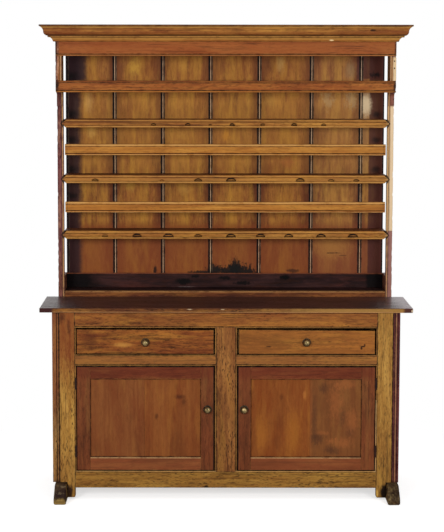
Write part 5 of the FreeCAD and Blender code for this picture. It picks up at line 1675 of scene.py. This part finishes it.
# The nodes shown as they are, and the way their grain runs.
INNER_GRAIN = {
    "drawer_left_sides": "y", "drawer_right_sides": "y", "drawer_left_back": "x",
    "drawer_right_back": "x", "drawer_left_bottom": "x", "drawer_right_bottom": "x",
    "drawer_runners": "y", "drawer_guides_and_stops": "y", "cupboard_floor": "x",
    "cupboard_shelf": "x", "shelf_cleats": "y", "base_back_boards": "z",
}
IRON_NODES = ("door_left_hinge_leaves", "door_right_hinge_leaves", "frame_hinge_leaves",
              "hinge_pins")


def dress_cad_nodes():
    """Materials and softened edges for the nodes that stay as they are."""
    weld_reach, iron_bevel, wood_bevel, sharp_angle = 0.00001, 0.0004, 0.0008, 40
    chosen = {name: pine_inner[axis] for name, axis in INNER_GRAIN.items()}
    chosen.update({name: iron for name in IRON_NODES})
    for name, material in chosen.items():
        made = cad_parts[name]
        made.data.materials.clear()
        made.data.materials.append(material)
        weld = made.modifiers.new("weld", "WELD")
        weld.merge_threshold = weld_reach
        bevel = made.modifiers.new("bevel", "BEVEL")
        bevel.width = iron_bevel if material is iron else wood_bevel
        bevel.segments = 2
        bevel.limit_method = "ANGLE"
        bevel.angle_limit = math.radians(sharp_angle)


make_base_frame()
make_opening_beads()
make_sides()
make_feet()
make_counter()
make_drawer("left", LEFT, 20)
make_drawer("right", RIGHT, 24)
make_door("left", 27)
make_door("right", 35)
for body in ("drawer_left", "drawer_right", "door_left", "door_right"):
    make_knob(body, f"{body}_knob")
make_posts()
make_guard_rails()
make_shelves()
make_rack_base()
make_rack_back()
make_frieze()
make_cornice()
dress_cad_nodes()


def make_stage():
    """A white floor that keeps the dresser's shadow, under a white sky."""
    g = Graph("floor_white")
    g.shade({"Base Color": (0.85, 0.85, 0.85, 1), "Roughness": 0.9, "Specular IOR Level": 0.0})
    seen = g.node("ShaderNodeLightPath", {}, {}, "Is Camera Ray")
    bright = g.node("ShaderNodeEmission", {}, {"Strength": g.math("MULTIPLY", seen, 0.62)})
    both = g.node("ShaderNodeAddShader", {}, {0: g.shader.outputs[0], 1: bright})
    distance = g.node("ShaderNodeVectorMath", {"operation": "LENGTH"}, {0: g.place()}, "Value")
    far = g.band(distance, 0.9, 1.6)
    white = g.node("ShaderNodeEmission", {}, {"Strength": 1.0})
    mixed = g.node("ShaderNodeMixShader", {}, {0: g.math("MULTIPLY", seen, far), 1: both,
                                               2: white})
    g.put(g.tree.nodes["Material Output"].inputs["Surface"], mixed)
    mesh = bpy.data.meshes.new("floor")
    reach = 12.0
    mesh.from_pydata([(-reach, -reach, 0), (reach, -reach, 0), (reach, reach, 0),
                      (-reach, reach, 0)], [], [(0, 1, 2, 3)])
    mesh.materials.append(g.material)
    floor = add("floor", mesh)


def make_sky():
    """A plain white sky that gives soft light and is pure white where it is seen."""
    world = bpy.data.worlds.new("sky")
    bpy.context.scene.world = world
    world.use_nodes = True
    tree = world.node_tree
    tree.nodes.clear()
    path = tree.nodes.new("ShaderNodeLightPath")
    skies = {}
    for name, strength in (("lit", 0.5), ("seen", 1.0)):
        sky = tree.nodes.new("ShaderNodeBackground")
        sky.inputs["Color"].default_value = (1, 1, 1, 1)
        sky.inputs["Strength"].default_value = strength
        skies[name] = sky.outputs[0]
    either = path.outputs["Is Camera Ray"]
    for ray in ("Is Glossy Ray", "Is Transmission Ray"):
        both = tree.nodes.new("ShaderNodeMath")
        both.operation = "MAXIMUM"
        tree.links.new(either, both.inputs[0])
        tree.links.new(path.outputs[ray], both.inputs[1])
        either = both.outputs[0]
    choose = tree.nodes.new("ShaderNodeMixShader")
    tree.links.new(either, choose.inputs[0])
    tree.links.new(skies["lit"], choose.inputs[1])
    tree.links.new(skies["seen"], choose.inputs[2])
    out = tree.nodes.new("ShaderNodeOutputWorld")
    tree.links.new(choose.outputs[0], out.inputs["Surface"])


def make_lamps():
    """Two soft lamps in front, a little above the counter, so that shadows fall behind rails."""
    aim = np.array([0, 0, 1.0])
    for name, place, energy, size in (("key", (-2.5, -5.2, 2.3), 115, 1.3),
                                      ("fill", (2.4, -5.2, 2.2), 105, 1.3)):
        lamp = bpy.data.lights.new(name, "AREA")
        lamp.energy = energy
        lamp.size = size
        made = add(name, lamp)
        made.location = place
        target = aim - np.array(place)
        made.rotation_euler = (math.atan2(np.hypot(target[0], target[1]), -target[2]), 0,
                               math.atan2(target[1], target[0]) - math.pi / 2)


def make_camera():
    """The camera that was fitted to the photo."""
    data = bpy.data.cameras.new("camera")
    data.sensor_width = 36.0
    data.lens = 109.1
    data.shift_x = 0.0455
    data.shift_y = -0.1008
    camera = add("camera", data)
    camera.location = (-0.117, -7.197, 1.955)
    camera.rotation_euler = (math.radians(84.5), math.radians(-0.06), math.radians(0.07))
    bpy.context.scene.camera = camera


make_stage()
make_sky()
make_lamps()
make_camera()
bpy.context.scene.view_settings.view_transform = "Standard"
